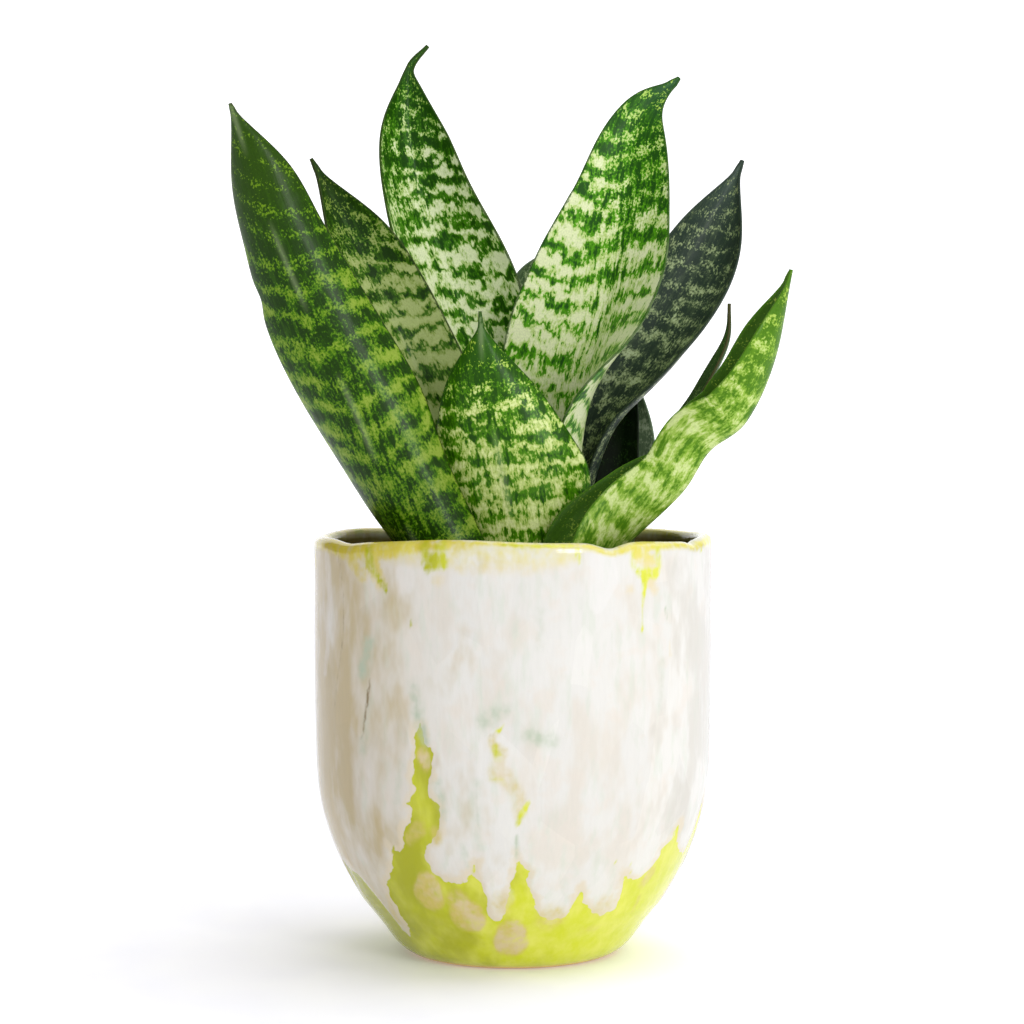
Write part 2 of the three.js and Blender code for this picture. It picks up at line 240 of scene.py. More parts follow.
# %% Leaf sizes in mm, from the soil to the tip
# spine: points on the middle line; half: half widths; face: the way the upper side looks and
# cup: how far each half curls up, both in degrees; keel: how sharply it is folded, nought to
# one; cusp and point: the hard point's length and half width; wave: height, number and start
# of the margin's waves; thick: in the middle at the foot; dent: place, side, depth of a nick
LEAVES = {
    "front_left": dict(
        spine=[(-21.2, -20, 125), (-39.7, -25, 158), (-54.4, -29, 192), (-69.6, -33, 224),
               (-83, -37, 257), (-94.8, -41, 293.2)],
        half=[20.4, 22.6, 24.1, 25.2, 23.6, 21.4, 17.6, 12.9], face=[47, 65, 77, 76, 65],
        cup=[91, 75, 63, 62, 62], keel=0.3, cusp=2, point=1.2, wave=(0.9, 2.6, 0.1), thick=3.6,
        dent=(0.65, 1, 1.6)),
    "back_left": dict(
        spine=[(-12, 9, 125), (-20, 12, 160), (-31, 13, 194), (-45.2, 13, 225), (-58.7, 14, 253),
               (-72, 14, 280.5)],
        half=[11.2, 15.4, 19, 19.6, 18.4, 13.7], face=[306, 302, 301, 301, 302],
        cup=[76, 62, 59, 57, 68], keel=0.3, cusp=4, point=1.5, wave=(0.8, 2.2, 0.4), thick=3.4),
    "tallest": dict(
        spine=[(0.2, 29, 125), (-2.1, 34, 160), (-9.4, 37.5, 195), (-19, 40, 229),
               (-30.7, 41, 262), (-37.1, 41, 289), (-38.3, 41, 308), (-37.5, 41, 317),
               (-31.2, 41, 324.5)],
        half=[10.9, 15, 20.1, 24.3, 26.3, 26.2, 22.6, 15.7], face=[276, 281, 285, 277, 275],
        cup=[76, 73, 79, 83, 64], keel=0.3, cusp=10, point=1.7, wave=(0.7, 1.8, 0.2), thick=3.6),
    "front_short": dict(
        spine=[(2.2, -15, 125), (-0.2, -18, 150), (-4.8, -20, 175), (-9.8, -22, 200),
               (-11.3, -24, 224.4)],
        half=[15.4, 26.2, 30.8, 24.4, 15.5], face=[87, 83, 81, 84, 86], cup=[69, 47, 39, 42, 50],
        keel=0.2, cusp=5, point=1, wave=(0.6, 1.6, 0.7), thick=3.4),
    "tall_right": dict(
        spine=[(17.7, 11, 125), (21.9, 14, 160), (25.3, 17, 195), (34.1, 19, 229),
               (40.3, 20, 264), (46.4, 21, 296), (59.8, 22, 310.3)],
        half=[12.4, 17.7, 26.2, 32.5, 34.1, 29.3, 20.2, 12.4], face=[206, 204, 230, 253, 265],
        cup=[94, 86, 63, 47, 49], keel=0.5, cusp=3, point=1.8, wave=(0.7, 2, 0.6), thick=3.6),
    "dark_right": dict(
        spine=[(22.2, 27, 125), (24.8, 29, 158), (32.4, 32, 189), (50.1, 34, 216),
               (68.2, 36, 246), (84.1, 38, 282.4)],
        half=[7.5, 10.9, 16.6, 21.2, 22.8, 17.3], face=[219, 228, 252, 266, 260],
        cup=[84, 94, 92, 84, 78], keel=0, cusp=4, point=1.6, wave=(0.6, 2.2, 0.9), thick=3.3),
    "low_right": dict(
        spine=[(19, -21, 125), (39.3, -26, 146), (56.7, -31, 163), (65.9, -33.5, 177),
               (78.2, -37, 187), (87.6, -41, 208), (93.1, -44, 237.4)],
        half=[17.5, 26.1, 23.1, 20.3, 18.8, 18.7, 13.6], face=[203, 187, 173, 171, 180, 195, 200],
        cup=[102, 120, 136, 143, 135, 121, 110], keel=0.5, cusp=3, point=1.8, wave=(1, 3.2, 0.3),
        thick=3.2),
    "young_spear": dict(
        spine=[(39.1, 3, 125), (43.2, 3, 150), (53.3, 3, 175), (66.3, 2, 196), (75.4, 2, 214),
               (76.3, 2, 228.3)],
        half=[4, 4.8, 4.6, 4.4, 4.2, 4], face=[179, 189, 199, 200, 203], cup=[60, 60, 60, 60, 60],
        keel=0.3, cusp=4, point=0.9, wave=(0.4, 2, 0.2), thick=2.4),
    "back_right": dict(
        spine=[(33, 40, 125), (38, 42, 150), (42, 46, 175), (41, 50, 198), (38, 53, 215)],
        half=[8, 12, 14, 13, 9], face=[240, 250, 255, 255, 255], cup=[70, 60, 50, 50, 60],
        keel=0.3, cusp=3, point=0.9, wave=(1.1, 3.4, 0.5), thick=2.4),
    "inner_shaded": dict(
        spine=[(36, 24, 125), (37.5, 28, 150), (40, 33, 175), (41.8, 37, 198), (39.5, 40, 215)],
        half=[6, 9, 10, 8, 5], face=[225, 235, 245, 250, 250], cup=[70, 60, 50, 50, 60], keel=0.3,
        cusp=3, point=0.9, wave=(0.5, 2, 0.8), thick=2.6),
    "back_centre": dict(
        spine=[(3.5, 40, 125), (4, 48, 160), (4.6, 59, 195), (8.8, 72, 225), (19.1, 84, 257.3)],
        half=[10, 13.7, 17.3, 19.2, 19.9, 19.2], face=[270, 279, 287, 287, 270],
        cup=[80, 75, 70, 72, 72], keel=0.3, cusp=3, point=1.5, wave=(0.7, 2, 0.1), thick=3),
}
EDGE_THICKNESS, TIP_THICKNESS, LEAF_FOOT = 0.9, 1.3, 116
print(len(LEAVES), "leaves")


# %% The spine and the width
def along(values, t):
    """A smooth value along a list of evenly spaced ones."""
    v = np.array(values, float)
    v = np.concatenate([[2 * v[0] - v[1]], v, [2 * v[-1] - v[-2]]])
    place = np.clip(t, 0, 1) * (len(values) - 1)
    i = np.minimum(place.astype(int), len(values) - 2)
    f = place - i
    a, b, c, d = v[i], v[i + 1], v[i + 2], v[i + 3]
    return 0.5 * (2 * b + (c - a) * f + (2 * a - 5 * b + 4 * c - d) * f ** 2
                  + (3 * b - a - 3 * c + d) * f ** 3)


def spine_points(leaf, t):
    """Points, directions and length of the spine at shares t of its length."""
    fine = np.linspace(0, 1, 4001)
    line = np.stack([along(column, fine) for column in zip(*leaf["spine"])], 1)
    run = np.concatenate([[0], np.cumsum(np.linalg.norm(np.diff(line, axis=0), axis=1))])
    heading = np.gradient(line, run, axis=0)
    place, aim = (np.stack([np.interp(t * run[-1], run, row) for row in table.T], 1)
                  for table in (line, heading))
    return place, aim / np.linalg.norm(aim, axis=1, keepdims=True), run[-1]


NICK_REACH = 5


def half_width(leaf, t, side, length):
    """Half of the blade's width, which runs out to a narrow hard point."""
    end = 1 - leaf["cusp"] / length
    blade = np.where(t < end, np.maximum(along([*leaf["half"], 0], t / end), 0), 0)
    point = np.clip((t - end) / (1 - end), 0, 1)
    if "dent" in leaf:
        place, dent_side, depth = leaf["dent"]
        blade = blade - np.where(np.sign(side) == dent_side, depth, 0) * np.exp(
            -((t - place) * length / NICK_REACH) ** 2)
    return np.hypot(np.maximum(blade, 0), leaf["point"] * (1 - 0.6 * point))


lengths = {name: spine_points(leaf, np.array([0.0]))[2] for name, leaf in LEAVES.items()}
print("spines in mm:", {name: round(length) for name, length in lengths.items()})


# %% Across the blade, and the rings of a skin
def section(leaf, t, s, half, cup):
    """Out from the middle and up towards the upper side, for a share s of the half width:
    an arc mixed with the straight sides of a keel, and a wave in the margins."""
    reach, keel = np.abs(s), leaf["keel"]
    bend = half / cup
    out = (1 - keel) * bend * np.sin(cup * reach) + keel * half * reach * np.cos(cup / 2)
    rise = (1 - keel) * bend * (1 - np.cos(cup * reach)) \
        + keel * half * reach * np.sin(cup / 2)
    height, count, start = leaf["wave"]
    ripple = height * reach ** 3 * np.sin(
        2 * np.pi * (count * t + start + np.where(s > 0, 0.15, 0))) * np.sin(np.pi * t)
    return np.sign(s) * out, rise + ripple


LIP = 0.45


def blade_rings(leaf, rows, columns):
    """Rings of points round the blade, with where each point lies on it: share s of the half
    width, share t of the length, and the upper or lower face."""
    t = np.concatenate([[0], np.linspace(0, 1, rows)])[:, None]
    centre, heading, length = spine_points(leaf, t[:, 0])
    azimuth = np.radians(along(leaf["face"], t[:, 0]))
    up = np.stack([np.cos(azimuth), np.sin(azimuth), 0 * azimuth], 1)
    up -= heading * (up * heading).sum(1, keepdims=True)
    up /= np.linalg.norm(up, axis=1, keepdims=True)
    across = np.cross(heading, up)
    cup = np.radians(np.maximum(along(leaf["cup"], t), 1))
    # across the upper side from one margin to the other, and back along the lower side
    half = half_width(leaf, t, 1.0, length)
    lip = np.minimum(LIP / half, 0.5)
    inner = np.linspace(-1, 1, columns)
    upper = np.concatenate([-(1 - 0.3 * lip), inner * (1 - lip), 1 - 0.3 * lip], 1)
    s = np.concatenate([-np.ones_like(t), upper, np.ones_like(t), upper[:, ::-1]], 1)
    one_side = np.ones(columns + 2)
    face = np.concatenate([[0], one_side, [0], -one_side])
    # the margins are rounded: nothing of the thickness at the rim, most of it beside it
    rounded = np.concatenate([[0.75], np.ones(columns), [0.75]])
    full = np.concatenate([[0], rounded, [0], rounded])
    half = half_width(leaf, t, s, length)
    x, y = section(leaf, t, s, half, cup)
    (x0, y0), (x1, y1) = (section(leaf, t, s + d, half, cup) for d in (-0.02, 0.02))
    slope = np.hypot(x1 - x0, y1 - y0)
    middle = leaf["thick"] + (TIP_THICKNESS - leaf["thick"]) * np.minimum(1, t / 0.95)
    thick = EDGE_THICKNESS + (middle - EDGE_THICKNESS) * (1 - np.abs(s) ** 2.2)
    offset = face * full * thick / 2
    x, y = x - offset * (y1 - y0) / slope, y + offset * (x1 - x0) / slope
    points = centre[:, None] + across[:, None] * x[..., None] + up[:, None] * y[..., None]
    points[0, :, 2] = LEAF_FOOT
    return points, s, t + 0 * s, half, face + 0 * s, length


print("a ring of 5 columns has", blade_rings(LEAVES["tallest"], 3, 5)[0].shape[1], "points")


# %% Rings to a closed mesh
def ring_faces(rows, ring):
    """Faces of a closed tube of rings, with a ladder of faces across each end."""
    at = np.arange(rows * ring).reshape(rows, ring)
    following = np.roll(at, -1, 1)
    faces = np.stack([at[:-1], following[:-1], following[1:], at[1:]],
                     -1).reshape(-1, 4).tolist()
    for row, flip in ((0, True), (rows - 1, False)):
        for k in range(ring // 2):
            quad = [at[row, k], at[row, k + 1], at[row, -k - 1], at[row, -k]] \
                if k else [at[row, 0], at[row, 1], at[row, -1]]
            quad = list(dict.fromkeys(int(q) for q in quad))
            faces.append(quad[::-1] if flip else quad)
    return faces


def mesh_piece(name, points, faces, attributes, material, replaces):
    """A finished piece in metres, with its attributes, that rides on the one body."""
    mesh = bpy.data.meshes.new(name)
    mesh.from_pydata((np.asarray(points) * MM).tolist(), [], faces)
    for key, values in attributes.items():
        values = np.asarray(values, np.float32).reshape(len(points), -1)
        kind, part = ("FLOAT", "value") if values.shape[1] == 1 else ("FLOAT_VECTOR", "vector")
        mesh.attributes.new(key, kind, "POINT").data.foreach_set(part, values.ravel())
    mesh.materials.append(material)
    mesh.shade_smooth()
    mesh.update()
    obj = put(name, mesh)
    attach(obj, "root")
    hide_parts(replaces)
    triangles = sum(len(p.vertices) - 2 for p in mesh.polygons)
    print(f"{name}: {triangles} triangles")


print("a tube of 3 rings of 8 points has", len(ring_faces(3, 8)), "faces")

# %% [markdown]
# ## The bands
# The leaf's bands are cells without chlorophyll: they lie across the blade, and because the
# cells are long and run with the leaf, every edge of a band is frayed into fine teeth. A
# texture of stripes alone looks printed. So the middle line of each dark band is given in mm
# at five places across the blade, the distance to the nearest one is kept at every point, and
# the material frays that distance with a noise drawn out along the leaf.

# %% Where the dark bands lie, in mm from the soil, at five places across
BANDS = {
    "front_left": [(23, 27, 29, 29, 30), (33, 35, 38, 38, 39), (44, 47, 47, 47, 48),
        (55, 56, 58, 58, 59), (64, 64, 64, 67, 69), (73, 73, 75, 77, 78), (80, 81, 84, 86, 87),
        (90, 93, 94, 95, 97), (99, 104, 106, 110, 113), (109, 115, 117, 119, 122),
        (121, 125, 125, 127, 131), (132, 134, 136, 140, 143), (137, 140, 146, 151, 155)],
    "back_left": [(74, 74, 72, 70, 68), (84, 84, 82, 79, 76), (92, 92, 91, 89, 86),
        (99, 99, 98, 96, 93), (106, 106, 105, 101, 99), (114, 114, 112, 109, 107),
        (123, 123, 121, 119, 112), (134, 134, 132, 126, 118), (145, 145, 143, 138, 126),
        (155, 155, 154, 150, 142)],
    "tallest": [(107, 107, 102, 95, 92), (115, 115, 112, 102, 99), (124, 124, 122, 114, 112),
        (134, 134, 132, 126, 120), (142, 142, 141, 137, 129), (150, 150, 149, 146, 142),
        (158, 158, 157, 152, 149), (165, 163, 161, 159, 156), (173, 172, 170, 168, 164)],
    "front_short": [(14, 15, 16, 16, 17), (21, 22, 23, 23, 24), (27, 28, 29, 31, 32),
        (33, 34, 36, 37, 38), (40, 42, 43, 44, 46), (45, 47, 49, 52, 55), (54, 55, 57, 58, 61),
        (60, 63, 65, 64, 66), (68, 72, 71, 70, 72), (77, 79, 79, 79, 79)],
    "tall_right": [(22, 24, 27, 29, 30), (32, 33, 37, 39, 40), (42, 43, 47, 49, 50),
        (52, 53, 57, 59, 60), (62, 63, 67, 69, 69), (72, 73, 77, 78, 78), (82, 83, 88, 89, 88),
        (94, 94, 103, 104, 102), (104, 103, 111, 112, 110), (114, 112, 122, 121, 119),
        (125, 120, 134, 133, 131), (136, 134, 142, 144, 143), (144, 144, 150, 152, 153)],
    "dark_right": [(68, 69, 75, 79, 82), (79, 80, 87, 88, 90), (90, 91, 96, 98, 100),
        (100, 101, 104, 107, 109), (107, 108, 112, 115, 116), (113, 115, 118, 121, 124),
        (120, 122, 124, 127, 130), (128, 130, 135, 136, 137), (136, 138, 141, 142, 144),
        (142, 145, 147, 150, 152)],
    "low_right": [(22, 27, 33, 34, 34), (36, 40, 45, 44, 42), (50, 54, 57, 56, 54),
        (65, 68, 70, 69, 68), (77, 79, 80, 79, 78), (88, 90, 91, 92, 93),
        (99, 100, 100, 102, 103), (107, 108, 109, 110, 111)],
    "young_spear": [(50, 51, 52, 52, 51)],
    "back_right": [(50, 52, 53, 52, 50)],
    "inner_shaded": [(50, 52, 53, 52, 50)],
    "back_centre": [(80, 79, 78, 79, 80)],
}
print(sum(len(b) for b in BANDS.values()), "bands listed")


# %% Bands that run on past the listed ones
def all_bands(listed, length, spacing):
    """The listed bands, and more at the usual spacing down to the soil and up to the tip."""
    bands = [np.array(b, float) for b in listed]
    while bands[0].mean() > -spacing:
        bands.insert(0, bands[0] - spacing)
    while bands[-1].mean() < length + spacing:
        bands.append(bands[-1] + 0.85 * spacing)
    return bands


def band_number(bands, v, s):
    """A number that is whole on the middle line of each dark band and runs evenly from one
    to the next, so that a finish can shift and break the bands and still find them."""
    lines = np.stack([np.interp(s, np.linspace(-1, 1, 5), band) for band in bands])
    lines = np.maximum.accumulate(lines + 0.01 * np.arange(len(bands))[:, None, None], axis=0)
    v = np.broadcast_to(v, lines.shape[1:])
    below = np.clip((lines <= v).sum(axis=0) - 1, 0, len(bands) - 2)
    low = np.take_along_axis(lines, below[None], 0)[0]
    high = np.take_along_axis(lines, below[None] + 1, 0)[0]
    return below + (v - low) / np.maximum(high - low, 0.5)


print(len(all_bands(BANDS["front_left"], 200, 10)), "bands on a blade of 200 mm")

# %% [markdown]
# ## The leaf's skin
# A snake plant's leaf is smooth, firm and half glossy under a thin wax, with very fine ridges
# along it. Its green is never even: the pale bands are flecked with green, the dark ones with
# grey, the tip is plain, and the margin is a dark line with a thin dry edge. All leaves share
# this build, and each one gets its own greens, because the young ones are pale and crisp and
# the outer and shaded ones are dull.

# %% One leaf finish
# the pale green is a painted highlight along the middle keel; the dry margin is the leaf's own
# colour
KEEL_HIGHLIGHT_GREEN, DRY_MARGIN = "#a4b486", "#6b4a34"
# noises: size of the cells across the blade and along it in mm, detail, and shift, for
# lobes, teeth, hairs, breaks, specks, streaks, flecks and ridges
SKIN_NOISES = [(5.0, 6.0, 1.0, 0.0), (1.5, 3.6, 2.0, 7.0), (0.7, 1.5, 2.0, 11.0),
               (6.5, 8.0, 2.0, 23.0), (0.8, 1.0, 2.0, 31.0), (1.7, 10.0, 2.0, 43.0),
               (0.45, 0.7, 2.0, 37.0), (0.42, 60.0, 1.0, 5.0)]


def leaf_skin(name, look):
    """Waxy banded leaf skin. Frayed band edges and fine ridges catch the eye as real cells."""
    pale, young, edge_green, dark, plain = look["greens"]
    material, tree = new_material(name)
    grain = add(tree, "ShaderNodeAttribute", attribute_name="grain").outputs["Vector"]
    number, show, edge, streaky, fold = (
        add(tree, "ShaderNodeAttribute", attribute_name=key).outputs["Fac"]
        for key in ("bands", "pale", "edge", "streaky", "fold"))
    lobes, teeth, hairs, breaks, specks, streaks, flecks, ridges = (
        noise_cells(tree, grain, (wide, long, 1.0), (shift, shift, 0.0), detail, 0.6)
        for wide, long, detail, shift in SKIN_NOISES)

    # The bands' middle lines zigzag, their edges are toothed, and some bands break. The
    # level is in mm: above nought the cells are pale.
    pitch = look["pitch"]
    phase = stirred(tree, number, (lobes, look["zigzag"] / pitch), (teeth, 9.0 / pitch))
    away = add(tree, "ShaderNodeMath", {0: phase, 1: 0.5}, operation="PINGPONG")
    banded = stirred(tree, -0.5 * look["dark"], (away, pitch), (breaks, 12.0))
    # along the middle or a margin the bands give way to long streaks
    level = add(tree, "ShaderNodeMix", {
        "Factor": streaky, "A": banded, "B": stirred(tree, 0.3, (streaks, 13.0))})
    # towards the tip the pale cells shrink to specks and die out
    scatter = add(tree, "ShaderNodeMath", {
        0: specks, 1: stirred(tree, 1.0, (show, -1.0))}, operation="MULTIPLY")
    fading = add(tree, "ShaderNodeMapRange", {"Value": show, "To Min": -5.0, "To Max": 0.3})
    level = stirred(tree, level, (hairs, 4.0), (scatter, 30.0), (fading, 1.0))

    # greens: young and yellower towards the tip, grassy where a band ends
    near_edge = add(tree, "ShaderNodeMapRange", {
        "Value": level, "From Min": -2.6, "From Max": 0.0}, interpolation_type="SMOOTHSTEP")
    ground = coated(tree, dark, (edge_green, stirred(tree, near_edge, (streaks, 2.0))),
                    (plain, show, 0.05, 0.55, 0.8, 0.0))
    cell = coated(tree, young, (pale, stirred(tree, show, (breaks, 0.9)), 0.35, 0.95),
                  (young, level, 0.0, 2.2, 0.8, 0.0))
    colour = coated(tree, ground, (cell, level, -look["blur"], look["blur"]))
    flecked = add(tree, "ShaderNodeMapRange", {
        "Value": flecks, "From Min": -0.25, "From Max": 0.25, "To Min": 0.85, "To Max": 1.15})
    colour = add(tree, "ShaderNodeHueSaturation", {"Color": colour, "Value": flecked})
    # a painted highlight along the keel in the middle, where its ridge catches the light, a dark
    # margin, and its dry edge
    colour = coated(tree, colour, (KEEL_HIGHLIGHT_GREEN, fold),
                    (dark, stirred(tree, edge, (hairs, 2.0)), 0.35, 0.95, 0.85, 0.0),
                    (DRY_MARGIN, edge, 0.1, 0.4, look["dryness"], 0.0))

    # the wax is uneven, and the skin swells over the lobes and is finely ridged
    sheen = add(tree, "ShaderNodeMapRange", {
        "Value": flecks, "From Min": -0.3, "From Max": 0.3, "To Min": 0.27, "To Max": 0.42})
    bump = add(tree, "ShaderNodeBump", {
        "Height": ridges, "Strength": 0.4, "Distance": 0.15 * MM})
    bump = add(tree, "ShaderNodeBump", {
        "Height": lobes, "Strength": 0.35, "Distance": 0.9 * MM, "Normal": bump})
    skin = add(tree, "ShaderNodeBsdfPrincipled", {
        "Base Color": colour, "Roughness": sheen, "Specular IOR Level": 0.09,
        "Coat Weight": 0.06, "Coat Roughness": 0.14, "Normal": bump})
    add(tree, "ShaderNodeOutputMaterial", {"Surface": skin})
    return material


print(len(SKIN_NOISES), "noises in a leaf's skin")

# %% Greens, sizes of the bands and where they fade, for each leaf
# greens: pale cells, young pale cells, green at a band's edge, dark band, plain tip
# dark and pitch: a dark band's width and the bands' spacing in mm; zigzag: how far the bands
# stray; blur: softness of their edges; show: how strongly the pale cells show from the soil
# to the tip, as one number or at the left margin, the middle and the right margin, as seen on
# the upper side; streaky: the same for long streaks; dip: how far the bands sag in the middle
USUAL_LOOK = dict(dryness=0.0, fold=0, dip=0, streaky=[0, 0])
LOOKS = {
    "front_left": dict(
        slot="leaf_outer_green", dark=4.6, pitch=10.3, zigzag=8, blur=1.2, dryness=0.5,
        fold=0.3, dip=7,
        greens=("#88a03a", "#668a16", "#3f7000", "#1a3800", "#2a4800"),
        show=[(0.62, 0.55, 0.6), (0.78, 0.6, 0.74), (0.9, 0.7, 0.85), (0.85, 0.7, 0.85),
              (0.75, 0.65, 0.75), (0.65, 0.55, 0.6), (0.42, 0.36, 0.36), 0.1, 0],
        streaky=[(0.2, 0.8, 0.3), (0.1, 0.7, 0.1), (0, 0.4, 0), (0, 0.2, 0), (0, 0.1, 0)]),
    "back_left": dict(
        slot="leaf_outer_green", dark=3.2, pitch=9.0, zigzag=9, blur=0.5, dryness=0.1,
        greens=("#a6b472", "#7c923e", "#43700f", "#183602", "#223a08"),
        show=[0.95, (0.95, 1, 1), (0.95, 1, 1), (0.95, 1, 1), (0.9, 1, 1), (0.8, 0.95, 0.95),
              (0.65, 0.75, 0.75), 0.35, 0],
        streaky=[(0.3, 0.1, 0.1), (0.3, 0.1, 0), (0.4, 0.1, 0), (0.5, 0.2, 0.1), 0]),
    "tallest": dict(
        slot="leaf_banded", dark=4.2, pitch=8.6, zigzag=13, blur=0.35, dryness=0.1,
        greens=("#e2ebc0", "#98b94c", "#458210", "#1a4402", "#3c602a"),
        show=[0.9, (0.9, 1, 1), (0.95, 1, 1), (0.95, 1, 1), (0.9, 1, 1), (0.85, 1, 0.95),
              (0.75, 0.85, 0.85), (0.55, 0.62, 0.5), (0.15, 0.15, 0.1)],
        streaky=[(0.5, 0.1, 0), (0.7, 0.05, 0), (0.8, 0.1, 0), (0.8, 0.15, 0), (0.7, 0.1, 0),
                 (0.2, 0, 0)]),
    "front_short": dict(
        slot="leaf_outer_green", dark=4.4, pitch=7.6, zigzag=9, blur=0.45, dryness=0.05,
        fold=0.35,
        greens=("#dce89e", "#9cba40", "#4e8a06", "#224c02", "#2c5c0a"),
        show=[0.8, (0.85, 0.95, 0.9), (0.9, 1, 0.95), (0.95, 1, 0.95), (0.9, 0.95, 0.95),
              (0.8, 0.85, 0.9), (0.65, 0.6, 0.7), (0.35, 0.15, 0.35), 0],
        streaky=[(0.2, 0.6, 0.1), (0.2, 0.6, 0.1), (0.1, 0.5, 0.1), (0, 0.25, 0), 0]),
    "tall_right": dict(
        slot="leaf_banded", dark=3.8, pitch=9.8, zigzag=11, blur=0.25, dryness=0.05, dip=9,
        greens=("#e4ecbc", "#aacb58", "#56a012", "#21500e", "#3a5c42"),
        show=[1, 1, 1, 1, (1, 0.95, 1), (1, 0.85, 0.95), (0.9, 0.68, 0.75), (0.65, 0.52, 0.48),
              (0.15, 0.12, 0.12)],
        streaky=[(0, 0.4, 0.2), (0, 0.5, 0.1), (0, 0.55, 0), (0, 0.65, 0), (0, 0.75, 0),
                 (0, 0.6, 0.1), (0, 0.4, 0.2), 0]),
    "dark_right": dict(
        slot="leaf_dark", dark=4.4, pitch=8.6, zigzag=9, blur=1.0,
        greens=("#bcc9a0", "#909f70", "#5c6c50", "#303e34", "#4a5a50"),
        show=[0.5, (0.6, 0.6, 0.55), (0.7, 0.65, 0.65), (0.75, 0.7, 0.7), (0.75, 0.7, 0.7),
              (0.7, 0.65, 0.7), 0.6, 0.4, 0.1],
        streaky=[(0.6, 0.7, 0.9), (0.5, 0.6, 0.9), (0.2, 0.2, 0.6), (0.1, 0.1, 0.5),
                 (0, 0, 0.3), 0]),
    "low_right": dict(
        slot="leaf_outer_green", dark=5.0, pitch=10.5, zigzag=11, blur=1.6,
        greens=("#c6d68e", "#a2c04a", "#6f9c22", "#4a7812", "#456c24"),
        show=[(0.2, 0.8, 0.8), (0.1, 0.9, 0.9), (0, 0.9, 0.95), (0, 0.9, 0.95), (0, 0.85, 0.95),
              (0, 0.85, 0.9), (0, 0.65, 0.75), (0, 0.4, 0.45), (0, 0.1, 0.1)],
        streaky=[(0.2, 0.4, 0.2), (0.3, 0.6, 0.4), (0.3, 0.6, 0.3), (0.2, 0.4, 0.1),
                 (0, 0.2, 0)]),
    "young_spear": dict(
        slot="leaf_dark", dark=3.0, pitch=7, zigzag=6, blur=0.6, dryness=0.3,
        greens=("#8c9078", "#66754c", "#4a6630", "#2c4220", "#3a5a26"),
        show=[0.8, 0.8, 0.7, 0.4, 0],
        streaky=[0.9, 0.8, 0.6, 0]),
    "back_right": dict(
        slot="leaf_grey", dark=3.4, pitch=7, zigzag=6, blur=0.8,
        greens=("#b4bfa6", "#98a988", "#7c9070", "#5c7054", "#6a7e60"),
        show=[0.8, 0.8, 0.7, 0.5, 0.2]),
    # its greens are made very dark as painted shade, for a leaf deep among the others
    "inner_shaded": dict(
        slot="leaf_dark", dark=4.5, pitch=8, zigzag=6, blur=0.7,
        greens=("#34501f", "#29421a", "#1c3312", "#0e1c09", "#13240c"),
        show=[0.4, 0.5, 0.4, 0.2, 0]),
    "back_centre": dict(
        slot="leaf_grey", dark=3.2, pitch=8.5, zigzag=7, blur=0.7,
        greens=("#b5c09c", "#92a274", "#6a8256", "#475c3e", "#566a4a"),
        show=[0.8, 0.9, 0.9, 0.7, 0.3]),
}
print("looks for", len(LOOKS), "leaves")


# %% Make the eleven leaves
COLUMNS, ROW_STEP = 31, 0.85
# half width in mm of the painted highlight along the keel, and the spacing of its breaks
KEEL_HIGHLIGHT_HALF, KEEL_HIGHLIGHT_BREAKS = 0.8, 9.0
# each leaf reads its own part of the noise, this far along from the next one's
GRAIN_APART = 400


def spread(table, t, s):
    """A value from a table along the blade, whose rows are one number, or left to right."""
    rows = [np.broadcast_to(row, 3) for row in table]
    left, middle, right = (along(column, t) for column in zip(*rows))
    return np.clip(middle + (np.where(s < 0, left, right) - middle) * np.abs(s), 0, 1)


def leaf_piece(name, number):
    """A leaf's fine skin, with the numbers that its finish reads at every point."""
    leaf, look = LEAVES[name], USUAL_LOOK | LOOKS[name]
    points, s, t, half, face, length = blade_rings(
        leaf, int(lengths[name] / ROW_STEP), COLUMNS)
    v = t * length
    # the bands sag along the middle, and the painted highlight along the keel there comes and
    # goes
    dipped = v + look["dip"] * (1 - np.abs(s)) ** 1.5 * np.clip(1.2 - t, 0, 1)
    keel_highlight_mask = np.exp(-(s * half / KEEL_HIGHLIGHT_HALF) ** 2) \
        * np.clip(np.sin(v / KEEL_HIGHLIGHT_BREAKS + number) + 0.4, 0, 1)
    attributes = {
        "grain": np.stack([s * half, v + GRAIN_APART * number, 3 * face], -1),
        "bands": band_number(all_bands(BANDS[name], length, look["pitch"]), dipped, s),
        "pale": spread(look["show"], t, s),
        "streaky": spread(look["streaky"], t, s),
        "edge": half * (1 - np.abs(s)),
        "fold": look["fold"] * keel_highlight_mask,
    }
    finish = leaf_skin(f"waxy banded skin, {name.replace('_', ' ')} leaf", look)
    mesh_piece(f"{name}_leaf", points.reshape(-1, 3), ring_faces(*points.shape[:2]),
               attributes, finish, f"leaf_{name}")


for number, name in enumerate(LEAVES):
    leaf_piece(name, number)

# %% [markdown]
# ## The pot's body
# The pot is thrown on a wheel, so it is a turned form: one section carried round an axis. A
# Screw modifier or a spun edge could do this. A small Geometry Nodes tree does it with named
# sizes instead: each point of a grid reads how far round it is and how far along the section,
# and goes there. The hand's work, a waving rim and nicks in it, is pressed in afterwards.

# %% The section, from the middle of the foot up the outside and down the inside
POT_HEIGHT, WIDEST = 147, 70
SECTION = [(0, 0), (14, 0), (26, 0), (32.5, 0), (35.2, 0.1), (36.4, 0.4), (37.6, 1),
           (39.9, 2.4), (43, 5.5), (46.9, 11), (50.8, 16), (54.5, 21), (60.5, 32),
           (64.9, 43), (67.7, 53), (69.1, 64), (69.7, 80), (WIDEST, 100), (WIDEST, 125),
           (WIDEST, 144), (69.3, 146.1), (67.5, POT_HEIGHT), (65.7, 146.1), (65, 144),
           (65, 125), (65, 76), (63.6, 60), (60.5, 46), (54, 33), (46, 22), (36, 14),
           (22, 11), (0, 10)]
print(len(SECTION), "points on the pot's section")


